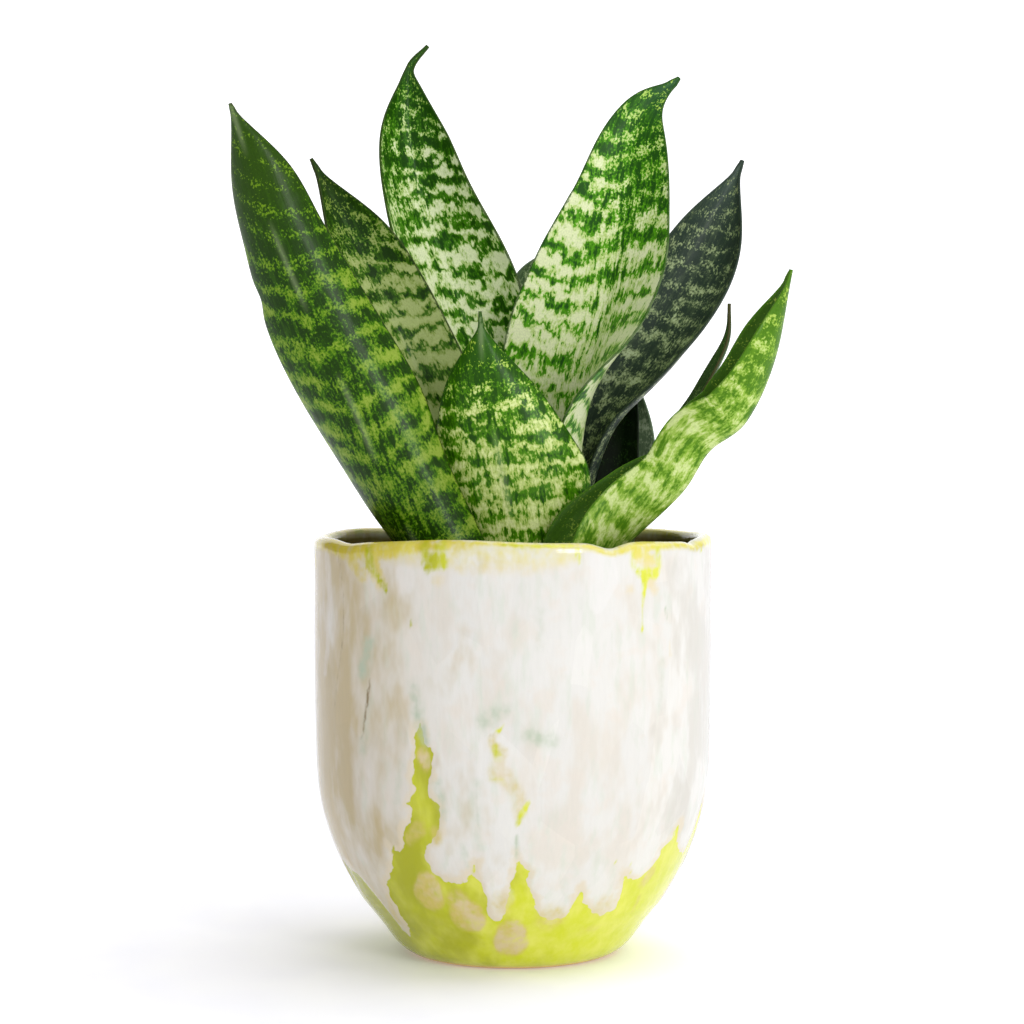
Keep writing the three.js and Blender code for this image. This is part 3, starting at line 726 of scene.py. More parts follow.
# %% The potter's wheel
def new_tree(name, inputs, output):
    """An empty Geometry Nodes tree with named inputs and one output, and what it is given."""
    tree = bpy.data.node_groups.new(name, "GeometryNodeTree")
    for label, kind in inputs.items():
        tree.interface.new_socket(label, in_out="INPUT", socket_type=f"NodeSocket{kind}")
    tree.interface.new_socket(output, in_out="OUTPUT", socket_type="NodeSocketGeometry")
    return tree, add(tree, "NodeGroupInput").outputs


def wheel_tree():
    """Carries a section round the Z axis."""
    tree, given = new_tree("potter's wheel", {
        "Section": "Geometry", "Points round": "Int", "Points along": "Int",
        "Glazed clay": "Material"}, "Pot")
    line = add(tree, "GeometryNodeMeshToCurve", {0: given["Section"]})
    line = add(tree, "GeometryNodeCurveSplineType", {0: line}, spline_type="CATMULL_ROM")
    one_more = add(tree, "FunctionNodeIntegerMath", {0: given["Points round"], 1: 1},
                   operation="ADD")
    grid = add(tree, "GeometryNodeMeshGrid", {
        "Size X": 1.0, "Size Y": 1.0, "Vertices X": one_more,
        "Vertices Y": given["Points along"]})
    # across the grid is a turn from nought to once round, up it the share of the section
    place = add(tree, "ShaderNodeSeparateXYZ", {0: add(tree, "GeometryNodeInputPosition")})
    round_share, share = (add(tree, "ShaderNodeMath", {0: place.outputs[axis], 1: 0.5},
                              operation="ADD") for axis in "XY")
    turn = add(tree, "ShaderNodeMath", {0: round_share, 1: math.tau}, operation="MULTIPLY")
    sample = add(tree, "GeometryNodeSampleCurve", {"Curves": line, "Factor": share})
    point = add(tree, "ShaderNodeSeparateXYZ", {0: sample.outputs["Position"]})
    x, y = (add(tree, "ShaderNodeMath", {
        0: point.outputs["X"], 1: add(tree, "ShaderNodeMath", {0: turn}, operation=part)},
        operation="MULTIPLY") for part in ("COSINE", "SINE"))
    target = add(tree, "ShaderNodeCombineXYZ", {"X": x, "Y": y, "Z": point.outputs["Z"]})
    # the share is kept while the grid is still flat: once it is bent, its points have moved
    marked = add(tree, "GeometryNodeStoreNamedAttribute", {
        "Geometry": grid, "Name": "section_share", "Value": share}, data_type="FLOAT")
    walls = add(tree, "GeometryNodeSetPosition", {"Geometry": marked, "Position": target})
    closed = add(tree, "GeometryNodeMergeByDistance", {"Geometry": walls, "Distance": 1e-5})
    smooth = add(tree, "GeometryNodeSetShadeSmooth", {"Geometry": closed})
    whole = add(tree, "GeometryNodeRealizeInstances", {"Geometry": smooth})
    done = add(tree, "GeometryNodeSetMaterial", {
        "Geometry": whole, "Material": given["Glazed clay"]})
    add(tree, "NodeGroupOutput", {"Pot": done})
    return tree


wheel = wheel_tree()
print("the wheel has", len(wheel.nodes), "nodes")

# %% [markdown]
# ## The glaze
# Two glazes are on this pot. A lime green one was put on first and shows at the foot and
# in runs at the rim. A thick white one was poured over it, and it ran down in lobes and
# fingers, with cream spots where the two boiled together. A picture wrapped round the pot
# could show it. Instead it is drawn as a potter would lay it: the white's lower edge as one
# line, and each run, spot and streak as a stroke with a width. The strokes become numbers at
# the pot's points, and the material turns those into colour and lets noise in long upright
# cells say how each one ran, so no part of the wall repeats another.

# %% Strokes of glaze: degrees to the right of the front, height in mm, half width in mm
WHITE_EDGE = [
    (-75, 34), (-67, 32), (-61, 30), (-58, 26), (-54, 20), (-53, 12), (-50, 10), (-47, 13),
    (-46, 20), (-47, 25), (-46, 30), (-41, 36), (-39, 40), (-39, 44), (-36, 43), (-34, 45),
    (-33, 51), (-31, 53), (-29, 59), (-31, 60), (-28, 64), (-29, 69), (-28, 74), (-27, 80),
    (-28, 83), (-26, 87), (-25, 85), (-25, 81), (-22, 77), (-23, 72), (-24, 67), (-24, 63),
    (-21, 60), (-21, 55), (-22, 50), (-24, 48), (-26, 46), (-27, 41), (-25, 36), (-22, 34),
    (-18, 33), (-15, 34), (-13, 37), (-11.3, 41), (-12, 36), (-10, 34), (-8.5, 28), (-9, 23),
    (-7, 19.5), (-4, 20), (-2, 27), (-1, 33), (1, 39), (1, 45), (2, 41), (5, 38), (4, 35),
    (7, 28), (8, 23), (10, 21), (14, 20), (19, 21), (21, 26), (22, 31), (24, 26), (27, 24),
    (29, 22), (33, 20), (39, 22), (39, 27), (37.5, 35), (39, 33), (44, 32), (48, 35),
    (52, 39), (51, 42), (57, 45), (56, 48), (58, 50), (59, 44), (64, 39), (70, 37)]

STROKES = {
    "lime": [
        (0.85, 1.6, [(-43.5, 144, 1.8), (-43, 139, 1.8), (-41, 136, 1.2)]),
        (1, 1, [(-40, 135, 1), (-37.5, 132, 1.1), (-37, 130, 0.7)]),
        (0.6, 1.8, [(-24.5, 145, 2.1), (-23.5, 141, 2.2)]),
        (0.6, 1.8, [(-20, 145, 2.3), (-19.5, 141, 2.4)]),
        (1, 1, [(-24, 140.5, 1.9), (-23.5, 138.5, 1.6)]),
        (1, 0.9, [(-19.5, 141, 1.9), (-19, 138.5, 1.3)]),
        (1, 1, [(-21.8, 141, 1.9), (-21.5, 138.8, 1.4)]),
        (0.8, 0.8, [(-3, 146, 0.4), (2.5, 145.5, 0.7), (9, 146, 0.6), (16.5, 146, 0.5)]),
        (0.9, 0.6, [(17.5, 145, 0.9), (17.5, 143, 0.7), (18, 140.5, 0.4)]),
        (0.45, 1.4, [(34, 143, 1.4), (35, 138, 1.4)]),
        (0.65, 1.8, [(43.5, 144.5, 1.5), (44, 139, 1.7)]),
        (1, 1.2, [(36.5, 137, 1.5), (42.5, 136, 2.1)]),
        (1, 0.8, [(38.5, 135, 1.6), (38.5, 130.5, 0.9), (38, 125, 0.3)]),
        (0.6, 0.5, [(38, 125, 0.3), (38, 120.5, 0.3)]),
        (1, 0.5, [(38, 118.5, 0.8), (37.5, 116.5, 0.4)]),
        (0.4, 1, [(-60, 144.5, 1.2), (-58, 142, 0.6)]),
        (0.4, 1, [(-77.5, 143, 0.8), (-75, 137.5, 0.6)]),
        (0.6, 0.6, [(66, 144, 0.8), (69, 142.5, 0.6)]),
        (1, 0.4, [(-28.5, 121.5, 0.3), (-28.5, 119, 0.5)]),
        (0.9, 0.4, [(-26.5, 92.5, 0.3), (-26.5, 91, 0.3)]),
        (1, 0.4, [(-3, 87, 0.4), (-4, 85.5, 0.6)]),
        (0.7, 1.4, [(-5, 80, 1.2), (-4, 77, 1.7)]),
        (0.4, 1.6, [(-6, 70, 1.2), (-2.5, 69, 1.4)]),
        (0.9, 0.7, [(4.5, 62.5, 0.4), (3, 59.5, 1.1), (1.5, 55.5, 0.9), (1, 54, 0.3)]),
        (0.9, 0.4, [(-12, 40, 0.3), (-12, 38, 0.6)]),
        (1, 0.4, [(56.5, 50, 0.3), (56, 47, 0.4), (56.5, 44, 0.8)]),
        (0.9, 0.3, [(32, 40.5, 0.2), (33, 38, 0.2)]),
        (0.8, 0.3, [(38.5, 39.5, 0.2), (40, 34, 0.2)]),
        (0.9, 0.4, [(-37.5, 44.5, 0.3), (-39, 42, 0.7)]),
    ],
    "cream": [
        (0.95, 2.2, [(-81, 145.5, 2.1), (-58.5, 145.5, 3.3), (-47.5, 144, 4.1),
                     (-36.5, 144.5, 3.5), (-27, 145.5, 2.9), (-18.5, 146, 1.9),
                     (-10, 146, 1.4)]),
        (0.95, 1.4, [(-10, 146, 1), (-2, 146, 1), (9.5, 146, 1), (18.5, 146, 1),
                     (25.5, 145.5, 1), (32, 145.5, 1.4), (39, 146, 2.1), (54.5, 146, 1.2),
                     (78, 145, 1.4)]),
        (0.7, 1.6, [(-51.5, 141, 2.7), (-46, 135, 2.7)]),
        (0.5, 3, [(-36.5, 142.5, 2.7), (-21.5, 142, 4.1), (-8.5, 141, 4.5), (5.5, 140.5, 4.5),
                  (16, 142.5, 3.1)]),
        (0.9, 1.4, [(-42.5, 140, 3.2), (-40, 135, 3), (-38, 132, 1.6)]),
        (0.9, 1.4, [(36.5, 142.5, 3), (40.5, 139.5, 3), (41, 133, 2.2)]),
        (0.85, 1, [(-39.5, 132.5, 2.1)]),
        (0.5, 1.6, [(-13.5, 141, 4.5)]),
        (0.5, 1.4, [(-4, 140, 3.5)]),
        (0.5, 1.8, [(3, 140, 3.9)]),
        (0.4, 1.4, [(13.5, 142, 3.3)]),
        (0.5, 1.4, [(-20.5, 134.5, 2.7)]),
        (0.5, 1, [(33.5, 131, 2.1)]),
        (0.7, 1.2, [(42.5, 130.5, 2.1)]),
        (0.6, 1.4, [(37, 144.5, 2.7), (39, 141, 2.1)]),
        (0.7, 1, [(-25.5, 77, 2.7), (-24.5, 73, 1.9)]),
        (0.6, 1.4, [(-27.5, 52, 2.9), (-31.5, 48, 2.3)]),
        (0.55, 1.2, [(-22.5, 51, 2.5), (-22, 48, 1.9)]),
        (0.85, 1.1, [(-28, 32, 4.8), (-29, 28.5, 6)]),
        (0.85, 1.2, [(-16.3, 21.5, 6.4)]),
        (0.6, 1.6, [(-18.5, 27, 4.4)]),
        (0.85, 1.1, [(-0.5, 15.5, 5.2), (-1, 12, 6.2)]),
        (0.5, 2.6, [(-3.5, 27, 4.5)]),
        (0.5, 2.6, [(13.5, 21, 5.5)]),
        (0.5, 2.6, [(33, 24, 4.5)]),
        (0.6, 1.2, [(50, 33.5, 2.5), (48.5, 30.5, 2.5)]),
        (0.4, 1, [(49.5, 25, 1.2), (50, 20, 1.2)]),
        (0.35, 1.6, [(28.5, 15, 2.1), (35, 15, 1.4)]),
        (0.6, 1.2, [(-48.5, 25, 1.2), (-51, 16, 1.7)]),
        (0.6, 1.2, [(-4.5, 84.5, 0.6), (-6, 83, 1.2), (-5.5, 81, 1.7), (-3.5, 78, 2.9)]),
        (0.5, 2, [(-3.5, 76, 2.1), (-5, 71.5, 3.1), (-1.5, 70, 3.1), (1.5, 63.5, 2.7),
                  (2, 56.5, 1.9)]),
        (0.5, 1.6, [(0.5, 64.5, 1.7), (1, 60, 1.9)]),
        (0.6, 0.8, [(48.5, 112.5, 0.5), (49, 108, 0.8)]),
    ],
    "brown": [
        (0.8, 0.5, [(-43, 100.5, 0.3), (-44, 95, 0.6), (-45, 89, 0.6), (-46.5, 80.5, 0.3)]),
        (0.5, 0.6, [(-58.5, 144, 0.4), (-56, 135.5, 0.4), (-54.5, 123.5, 0.4),
                    (-55.5, 112, 0.4), (-59, 97.5, 0.3), (-60.5, 89.5, 0.2)]),
        (0.5, 0.5, [(-6, 84, 0.5), (-4.5, 85, 0.3)]),
        (0.35, 0.8, [(-64.5, 36.5, 0.3), (-64.5, 34.5, 0.3)]),
        (0.3, 0.8, [(-48, 69, 0.4), (-49.5, 59, 0.3)]),
        (0.35, 0.6, [(3, 64.5, 0.3), (4.5, 62, 0.3)]),
    ],
    "sage": [
        (0.56, 3, [(-43.5, 112.5, 3.1), (-46, 103, 3.1)]),
        (0.63, 3, [(-28, 100, 1.4), (-27, 91.5, 1.9), (-24.5, 81, 1.7)]),
        (0.49, 3, [(-7, 89.5, 3.5), (-2, 92.5, 1.9)]),
        (0.49, 3, [(5, 84, 3.5), (10.5, 81.5, 2.5)]),
        (0.56, 2.5, [(-21, 67.5, 1.7), (-19.5, 57, 1.4)]),
        (0.7, 1.2, [(1, 50.5, 0.5), (1, 43.5, 0.6)]),
        (0.7, 0.6, [(47, 124.5, 0.5), (47.5, 120.5, 0.4)]),
        (0.42, 3, [(-43, 93, 1), (-46.5, 77, 2.5)]),
        (0.42, 3, [(-10, 68, 1.4), (-10, 46.5, 1)]),
        (0.35, 3, [(-32, 73.5, 1.4), (-34.5, 60.5, 1.4)]),
        (0.35, 3, [(7, 126, 1.4), (7, 112.5, 1.2)]),
        (0.35, 3, [(45.5, 106.5, 1.2), (44.5, 91, 1.4)]),
        (0.42, 2, [(-14.5, 46.5, 1.2), (-13.5, 40, 0.8)]),
    ],
    "thick": [
        (1, 0.9, [(25, 142.5, 4.5), (25.5, 135, 5.2), (23.5, 127, 3.1)]),
        (0.6, 1.2, [(-30.5, 135.5, 4.5), (-30.5, 132.5, 3.5)]),
        (0.5, 1.2, [(-65.5, 141, 2.7), (-62.5, 123, 2.7), (-67, 100.5, 2.1)]),
        (0.5, 1.2, [(55, 140.5, 4.5), (53.5, 132.5, 3.7)]),
        (0.5, 1.4, [(-3.5, 29, 4.5), (-5.5, 23, 2.1)]),
        (0.4, 1.4, [(-13.5, 140, 4.5)]),
    ],
}
print(len(WHITE_EDGE), "points on the white's edge,",
      sum(len(s) for s in STROKES.values()), "strokes")


# %% The side away from the front gets its own runs
BACK_FROM, BACK_TO, RIM_LINE = 76, 280, 145
FAR_SIDE = 80, 278


def more_runs(random):
    """The white's edge and strokes from the right of the front round to the left."""
    turn, edge = float(BACK_FROM), []
    while turn < BACK_TO:
        # one lobe of white: high at both sides, low in the middle, often with a cream spot
        width = random.uniform(13, 24)
        low, high = random.uniform(16, 31), random.uniform(38, 62)
        edge += [(turn, high), (turn + 0.16 * width, low + 6), (turn + 0.34 * width, low),
                 (turn + 0.62 * width, low - 1.5), (turn + 0.84 * width, low + 5)]
        if random.uniform(0, 1) < 0.6:
            size = random.uniform(3.5, 6)
            STROKES["cream"].append((0.9, 1.2, [(turn, low - 4, size), (turn, low - 8, size)]))
        STROKES["sage"].append((0.35, 4.0, [(turn + 3, 90, 2.0), (turn, 62, 2.0)]))
        turn += width
    # the rim: a cream band of uneven width, and lime that ran over it, with cream beside it
    STROKES["cream"].append((0.95, 1.8, [
        (at, RIM_LINE + 0.5, random.uniform(1.2, 3.8)) for at in range(BACK_FROM, 288, 7)]))
    for _ in range(15):
        at, deep, half = (random.uniform(*span) for span in (FAR_SIDE, (2, 9), (1.3, 3.4)))
        STROKES["lime"].append((random.uniform(0.5, 1), 1.7, [
            (at, RIM_LINE, half), (at + random.uniform(-2, 2), RIM_LINE - deep, 0.6 * half)]))
        STROKES["cream"].append((0.8, 2.4, [
            (at + 5, 144, 3.4), (at + 7, 142 - 0.7 * deep, 1.2 * half)]))
    # thin brown lines and thick white drops
    for _ in range(9):
        at, top = random.uniform(*FAR_SIDE), random.uniform(80, 125)
        STROKES["brown"].append((0.4, 0.8, [(at, top, 0.3), (at - 1.5, top - 20, 0.3)]))
    for _ in range(4):
        at = random.uniform(90, 270)
        STROKES["thick"].append((0.9, 1.2, [(at, 143, 4.0), (at, 131, 3.4)]))
    return [*WHITE_EDGE, *edge, (285, 34)]


white_edge = more_runs(np.random.default_rng(7))
print(len(white_edge), "points on the whole edge,",
      sum(len(s) for s in STROKES.values()), "strokes all round")


# %% How far each point is from a stroke, and how strongly the strokes cover it
def segment_distance(turn, radius, z, a, b):
    """Distance over the wall, in mm, from each point to a line between two marks, and the
    share of the way along it. Turn is in radians and runs both ways round the pot."""
    middle = math.radians(0.5 * (a[0] + b[0]))
    near = (turn - middle + math.pi) % math.tau - math.pi + middle
    ax, bx = radius * math.radians(a[0]), radius * math.radians(b[0])
    px, dx, dz = radius * near - ax, bx - ax, b[1] - a[1]
    share = np.clip((px * dx + (z - a[1]) * dz) / (dx ** 2 + dz ** 2 + 1e-9), 0, 1)
    return np.hypot(px - share * dx, z - a[1] - share * dz), share


def smoothstep(x, low, high):
    """A soft rise from nought at one value to one at another."""
    x = np.clip((x - low) / (high - low), 0, 1)
    return x * x * (3 - 2 * x)


def laid(strokes, turn, radius, z):
    """How strongly a set of strokes covers each point, 0 to 1."""
    cover = np.zeros_like(z)
    for strength, softness, marks in strokes:
        for a, b in zip(marks, marks[1:] or marks):
            away, share = segment_distance(turn, radius, z, a, b)
            width = a[2] + (b[2] - a[2]) * share
            cover = np.maximum(cover, strength * smoothstep(width - away, -softness, softness))
    return cover


def white_depth(turn, radius, z):
    """Distance in mm inside the white glaze, below nought outside it."""
    away = np.full(z.shape, 99.0)
    crossings = np.zeros(z.shape, int)
    round_turn = (np.degrees(turn) - WHITE_EDGE[0][0]) % 360 + WHITE_EDGE[0][0]
    for a, b in zip(white_edge, white_edge[1:]):
        away = np.minimum(away, segment_distance(turn, radius, z, a, b)[0])
        inside = (np.minimum(a[0], b[0]) <= round_turn) & (round_turn < np.maximum(a[0], b[0]))
        if a[0] != b[0]:
            level = a[1] + (b[1] - a[1]) * (round_turn - a[0]) / (b[0] - a[0])
            crossings += inside & (level < z)
    return np.where(crossings % 2 == 1, away, -away)


front_low = np.zeros(1), np.full(1, 65.0), np.array([30.0])
print("white 30 mm up at the front, in mm:", white_depth(*front_low).round(1))

# %% Colours and noises of the glaze
WHITE, BEIGE, SAGE, PINK = "#dedcd6", "#dad4c9", "#ced4c5", "#ded5c9"
THICK_WHITE, LOBE_END, SAGE_STREAK = "#e5e3e0", "#d8cbb0", "#b2bea6"
# the beige on the left and the grey at the right edge are painted shade on the white glaze
LEFT_SHADE_BEIGE, RIGHT_EDGE_SHADE_GREY, BROWN_LINE = "#bdaa7c", "#cbc9c1", "#857350"
# the olive lime is painted shade, for the lime on the pot's left side
LIME, THIN_LIME, LEFT_SHADE_LIME = "#cbd21e", "#dcdd5c", "#a9ac00"
RIM_YELLOW, RIM_OLIVE, LOW_CREAM, PALE_CREAM = "#dcd25e", "#c6b434", "#d3c195", "#dccfac"
SPOT_RIM, INSIDE_OLIVE, INSIDE_BROWN, INSIDE_TOP = "#cbb964", "#6a5a24", "#7a6c3c", "#9a9990"
BUFF_CLAY, PALE_GRIT = "#ecbe72", "#f4d8a4"
# noises: size of the cells across the wall and down it in mm, detail, and shift, for broad
# runs, narrow runs, fine runs, clouds and frayed edges
GLAZE_NOISES = [(12, 26, 3.0, 0.0), (4.0, 15, 4.0, 5.0), (1.0, 6.0, 3.0, 9.0),
                (9, 9, 3.0, 13.0), (2.6, 3.4, 1.5, 21.0)]
LOBE_WIDE, LOBE_LONG, LOBE_SHIFT = 13 * MM, 30 * MM, 3.0
MARKS = ("white", "lime", "cream", "brown", "sage", "thick", "clay", "inside")
print(len(GLAZE_NOISES), "noises and", len(MARKS), "marks in the glaze")


# %% White, lime and cream
def white_glaze(tree, place, aside, broad, narrow, fine, cloud, thin):
    """White, thick where lobes of it ran over each other, thin and beige or sage between, and
    thinner and beige at the ends of its lobes. It is painted beige towards the left and grey at
    the right edge: painted shade."""
    # painted shade: beige towards the left side and grey at the right edge
    white = coated(tree, WHITE, (BEIGE, broad, -0.08, 0.14),
                   (SAGE, narrow, 0.0, 0.22, 0.0, 0.5), (PINK, cloud, 0.02, 0.2, 0.0, 0.45),
                   (LEFT_SHADE_BEIGE, aside, -0.07, -0.02, 0.9, 0.0),
                   (RIGHT_EDGE_SHADE_GREY, aside, 0.046, 0.07, 0.0, 0.6))
    lobe = add(tree, "ShaderNodeTexVoronoi", {
        "Vector": add(tree, "ShaderNodeMapping", {
            "Vector": place, "Location": [LOBE_SHIFT] * 3,
            "Scale": [1 / LOBE_WIDE, 1 / LOBE_WIDE, 1 / LOBE_LONG]}),
        "Scale": 1.0, "Randomness": 1.0})
    tone = add(tree, "ShaderNodeSeparateXYZ", {"Vector": lobe.outputs["Color"]})
    white = add(tree, "ShaderNodeHueSaturation", {
        "Color": white, "Value": stirred(tree, 0.965, (tone, 0.05), (fine, 0.06))})
    return coated(tree, white, (LOBE_END, thin, 0.3, 3.2, 0.75, 0.0))


def lime_glaze(tree, aside, narrow, cloud):
    """Lime, yellower where it is thin, and darkened to olive on the left as painted shade."""
    lime = coated(tree, LIME, (THIN_LIME, stirred(tree, cloud, (narrow, 0.7)), -0.3, 0.3))
    # painted shade: the lime turns olive towards the left
    return coated(tree, LEFT_SHADE_LIME, (lime, aside, -0.047, 0.012))


def cream_glaze(tree, mark, aside, height, cloud):
    """Cream, yellow or olive at the rim, nearly white under it, pinkish beige low down."""
    cream = coated(tree, SPOT_RIM, (LOW_CREAM, stirred(tree, mark, (cloud, 3.0)), 0.4, 1.1),
                   (PALE_CREAM, height, 0.08, 0.115), (RIM_YELLOW, height, 0.136, 0.1445))
    olive = coated(tree, cream, (RIM_OLIVE, height, 0.126, 0.138))
    return coated(tree, cream, (olive, aside, -0.05, -0.005, 0.85, 0.0))


print("glazes:", ", ".join(f.__name__ for f in (white_glaze, lime_glaze, cream_glaze)))


# %% The whole finish: white over lime over buff clay
def drip_glaze():
    """Glossy reactive glaze, dipped and poured: streaks run down as the glaze did."""
    material, tree = new_material("poured reactive glaze on thrown stoneware")
    marks = {key: add(tree, "ShaderNodeAttribute", attribute_name=key).outputs["Fac"]
             for key in MARKS}
    place = add(tree, "ShaderNodeTexCoord").outputs["Object"]
    spot = add(tree, "ShaderNodeSeparateXYZ", {"Vector": place})
    broad, narrow, fine, cloud, fray = (
        noise_cells(tree, place, (wide * MM, wide * MM, long * MM), [shift] * 3, detail, 0.55)
        for wide, long, detail, shift in GLAZE_NOISES)

    # places across the front and heights are in metres, depths in mm
    # the place across the front also sets the painted shade: beige and olive on the left, grey at
    # the right edge
    height, aside = spot.outputs["Z"], stirred(tree, spot.outputs["X"], (broad, 0.12))
    depth = stirred(tree, marks["white"], (fray, 2.6))
    white = white_glaze(tree, place, aside, broad, narrow, fine, cloud,
                        stirred(tree, depth, (cloud, 9.0)))
    lime = lime_glaze(tree, aside, narrow, cloud)
    cream = cream_glaze(tree, marks["cream"], aside, height, cloud)
    body = coated(tree, lime, (white, depth, -0.18, 0.18))
    # each stroke has a frayed edge, and there is nothing of it where its mark is empty
    for key, over, fraying, *step in (
            ("sage", SAGE_STREAK, 2.0, 0.02, 0.9),
            ("thick", THICK_WHITE, 1.0, 0.1, 0.75, 0.0, 0.35),
            ("cream", cream, 1.6, 0.05, 1.05), ("lime", lime, 1.8, 0.08, 0.95),
            ("brown", BROWN_LINE, 2.4, 0.05, 1.0)):
        edge = add(tree, "ShaderNodeMath", {0: marks[key], 1: fraying}, operation="MULTIPLY")
        body = coated(tree, body, (over, stirred(tree, marks[key], (fray, edge)), *step))
    within = coated(tree, INSIDE_OLIVE, (INSIDE_BROWN, broad, -0.1, 0.12),
                    (INSIDE_TOP, stirred(tree, height, (broad, 0.01)), 0.1445, 0.148))
    grit = add(tree, "ShaderNodeTexNoise", {"Vector": place, "Scale": 900.0, "Detail": 3.0})
    clay = coated(tree, BUFF_CLAY, (PALE_GRIT, grit))
    body = coated(tree, body, (within, marks["inside"]), (clay, marks["clay"]))

    # bare clay is dull; the glass is dimpled by its runs
    dull = add(tree, "ShaderNodeMapRange", {
        "Value": marks["clay"], "To Min": 0.12, "To Max": 0.8})
    dimple = add(tree, "ShaderNodeBump", {
        "Height": narrow, "Strength": 0.35, "Distance": 0.6 * MM})
    dimple = add(tree, "ShaderNodeBump", {
        "Height": fray, "Strength": 0.12, "Distance": 0.2 * MM, "Normal": dimple})
    skin = add(tree, "ShaderNodeBsdfPrincipled", {
        "Base Color": body, "Roughness": stirred(tree, dull, (cloud, 0.15)),
        "Specular IOR Level": 0.35, "Coat Weight": 0.12, "Coat Roughness": 0.06,
        "Normal": dimple})
    add(tree, "ShaderNodeOutputMaterial", {"Surface": skin})
    return material


glaze = drip_glaze()
print(glaze.name, "has", len(glaze.node_tree.nodes), "nodes")


# %% Throw the pot
def grow(start, tree, sizes):
    """The plain mesh that a tree makes from a starting mesh, with its inputs set."""
    obj = put("start", start)
    modifier = obj.modifiers.new("grow", "NODES")
    modifier.node_group = tree
    for item in tree.interface.items_tree:
        if item.in_out == "INPUT" and item.name in sizes:
            modifier[item.identifier] = sizes[item.name]
    graph = bpy.context.evaluated_depsgraph_get()
    mesh = bpy.data.meshes.new_from_object(
        obj.evaluated_get(graph), preserve_all_data_layers=True, depsgraph=graph)
    obj.modifiers.remove(modifier)
    bpy.data.objects.remove(obj)
    return mesh


line = bpy.data.meshes.new("pot section")
line.from_pydata([(r * MM, 0, z * MM) for r, z in SECTION],
                 [(i, i + 1) for i in range(len(SECTION) - 1)], [])
thrown = grow(line, wheel, {"Points round": 400, "Points along": 235, "Glazed clay": glaze})
spots = np.zeros(len(thrown.vertices) * 3)
thrown.vertices.foreach_get("co", spots)
spots = spots.reshape(-1, 3) / MM
pot_faces = [list(p.vertices) for p in thrown.polygons]
share = np.zeros(len(spots), np.float32)
thrown.attributes["section_share"].data.foreach_get("value", share)
print("thrown pot:", len(spots), "points", len(pot_faces), "faces")

# %% Where the glazes lie on it
# over the rim, from this height up, the strokes run on down the inner wall
RIM_ZONE, LEAST_RADIUS = 100, 20
x, y, z = spots.T
radius = np.hypot(x, y)
azimuth = np.arctan2(y, x)
# nought at the front, which looks towards minus Y
turn = azimuth + math.pi / 2
wall = turn, np.maximum(radius, LEAST_RADIUS), z
# the outside ends and the inner wall's own colour starts just past the rim's highest point
rim_share = share[np.argmax(z)]
outside = 1 - smoothstep(share, rim_share - 0.004, rim_share + 0.012)
inner_wall = smoothstep(share, rim_share + 0.006, rim_share + 0.016)
white = white_depth(*wall)
cover = {key: laid(strokes, *wall) * np.where(z > RIM_ZONE, 1, outside)
         for key, strokes in STROKES.items()}
cover["thick"] *= outside
bare = np.where(inner_wall > 0.5, 0, 1 - smoothstep(z, 0.8, 1.5) * smoothstep(radius, 10, 30))
print(f"white covers {np.mean(white[outside > 0.5] > 0):.0%} of the outside's points")


# %% Press in the hand's marks and the glaze's thickness
def rim_wave(azimuth):
    """How far the rim rises and dips, in mm: two slow waves and three nicks."""
    rise = 0.55 * np.sin(3 * azimuth + 0.6) + 0.35 * np.sin(7 * azimuth + 2.1)
    for at, depth, wide in ((-62, 2.2, 5), (-145, 1.1, 8), (-27, 1.2, 4)):
        rise -= depth * np.exp(-((np.degrees(azimuth) - at) / wide) ** 2)
    return rise


wobble = 0.18 * np.sin(2 * azimuth + z / 23) + 0.12 * np.sin(5 * azimuth - z / 11 + 1) \
    + 0.08 * np.sin(9 * azimuth + z / 7)
# the white stands proud of the lime, and the whole only goes inwards from the section
relief = outside * (-0.42 + 0.42 * smoothstep(white, -0.6, 1.3) + 0.35 * cover["thick"]
                    + 0.12 * cover["cream"] - 0.1 * cover["brown"] + 0.5 * wobble)
with np.errstate(invalid="ignore", divide="ignore"):
    scale = np.where(radius > 1, np.minimum(radius + np.minimum(relief, 0), WIDEST) / radius, 1)
raised = z + smoothstep(z, POT_HEIGHT - 12, POT_HEIGHT - 2) * rim_wave(azimuth)
moved = np.stack([x * scale, y * scale, np.maximum(raised, 0)], 1)
mesh_piece("drip_glazed_pot", moved, pot_faces, {
    **cover, "white": white, "inside": inner_wall, "clay": bare}, glaze, "pot")

# %% [markdown]
# ## The soil
# Potting soil is dark crumbs of peat and bark with white grains of perlite. Hundreds of
# loose crumbs are what Geometry Nodes are best at: points are strewn over the soil's top,
# each gets a rough grain, turned and sized at random, and no grain lies inside a leaf.

# %% Finishes of the soil
def crumb_finish(name, low, high, cell_mm, roughness, pit_mm):
    """Dull broken grains: two tones, a rough face and fine pits."""
    material, tree = new_material(name)
    noise = add(tree, "ShaderNodeTexNoise", {
        "Vector": add(tree, "ShaderNodeTexCoord").outputs["Object"],
        "Scale": 1 / (cell_mm * MM), "Detail": 5.0, "Roughness": 0.65})
    share = add(tree, "ShaderNodeMapRange", {
        "Value": noise, "From Min": 0.35, "From Max": 0.68})
    pits = add(tree, "ShaderNodeBump", {
        "Height": noise, "Strength": 0.8, "Distance": pit_mm * MM})
    skin = add(tree, "ShaderNodeBsdfPrincipled", {
        "Base Color": coated(tree, low, (high, share)), "Roughness": roughness,
        "Specular IOR Level": 0.2, "Normal": pits})
    add(tree, "ShaderNodeOutputMaterial", {"Surface": skin})
    return material


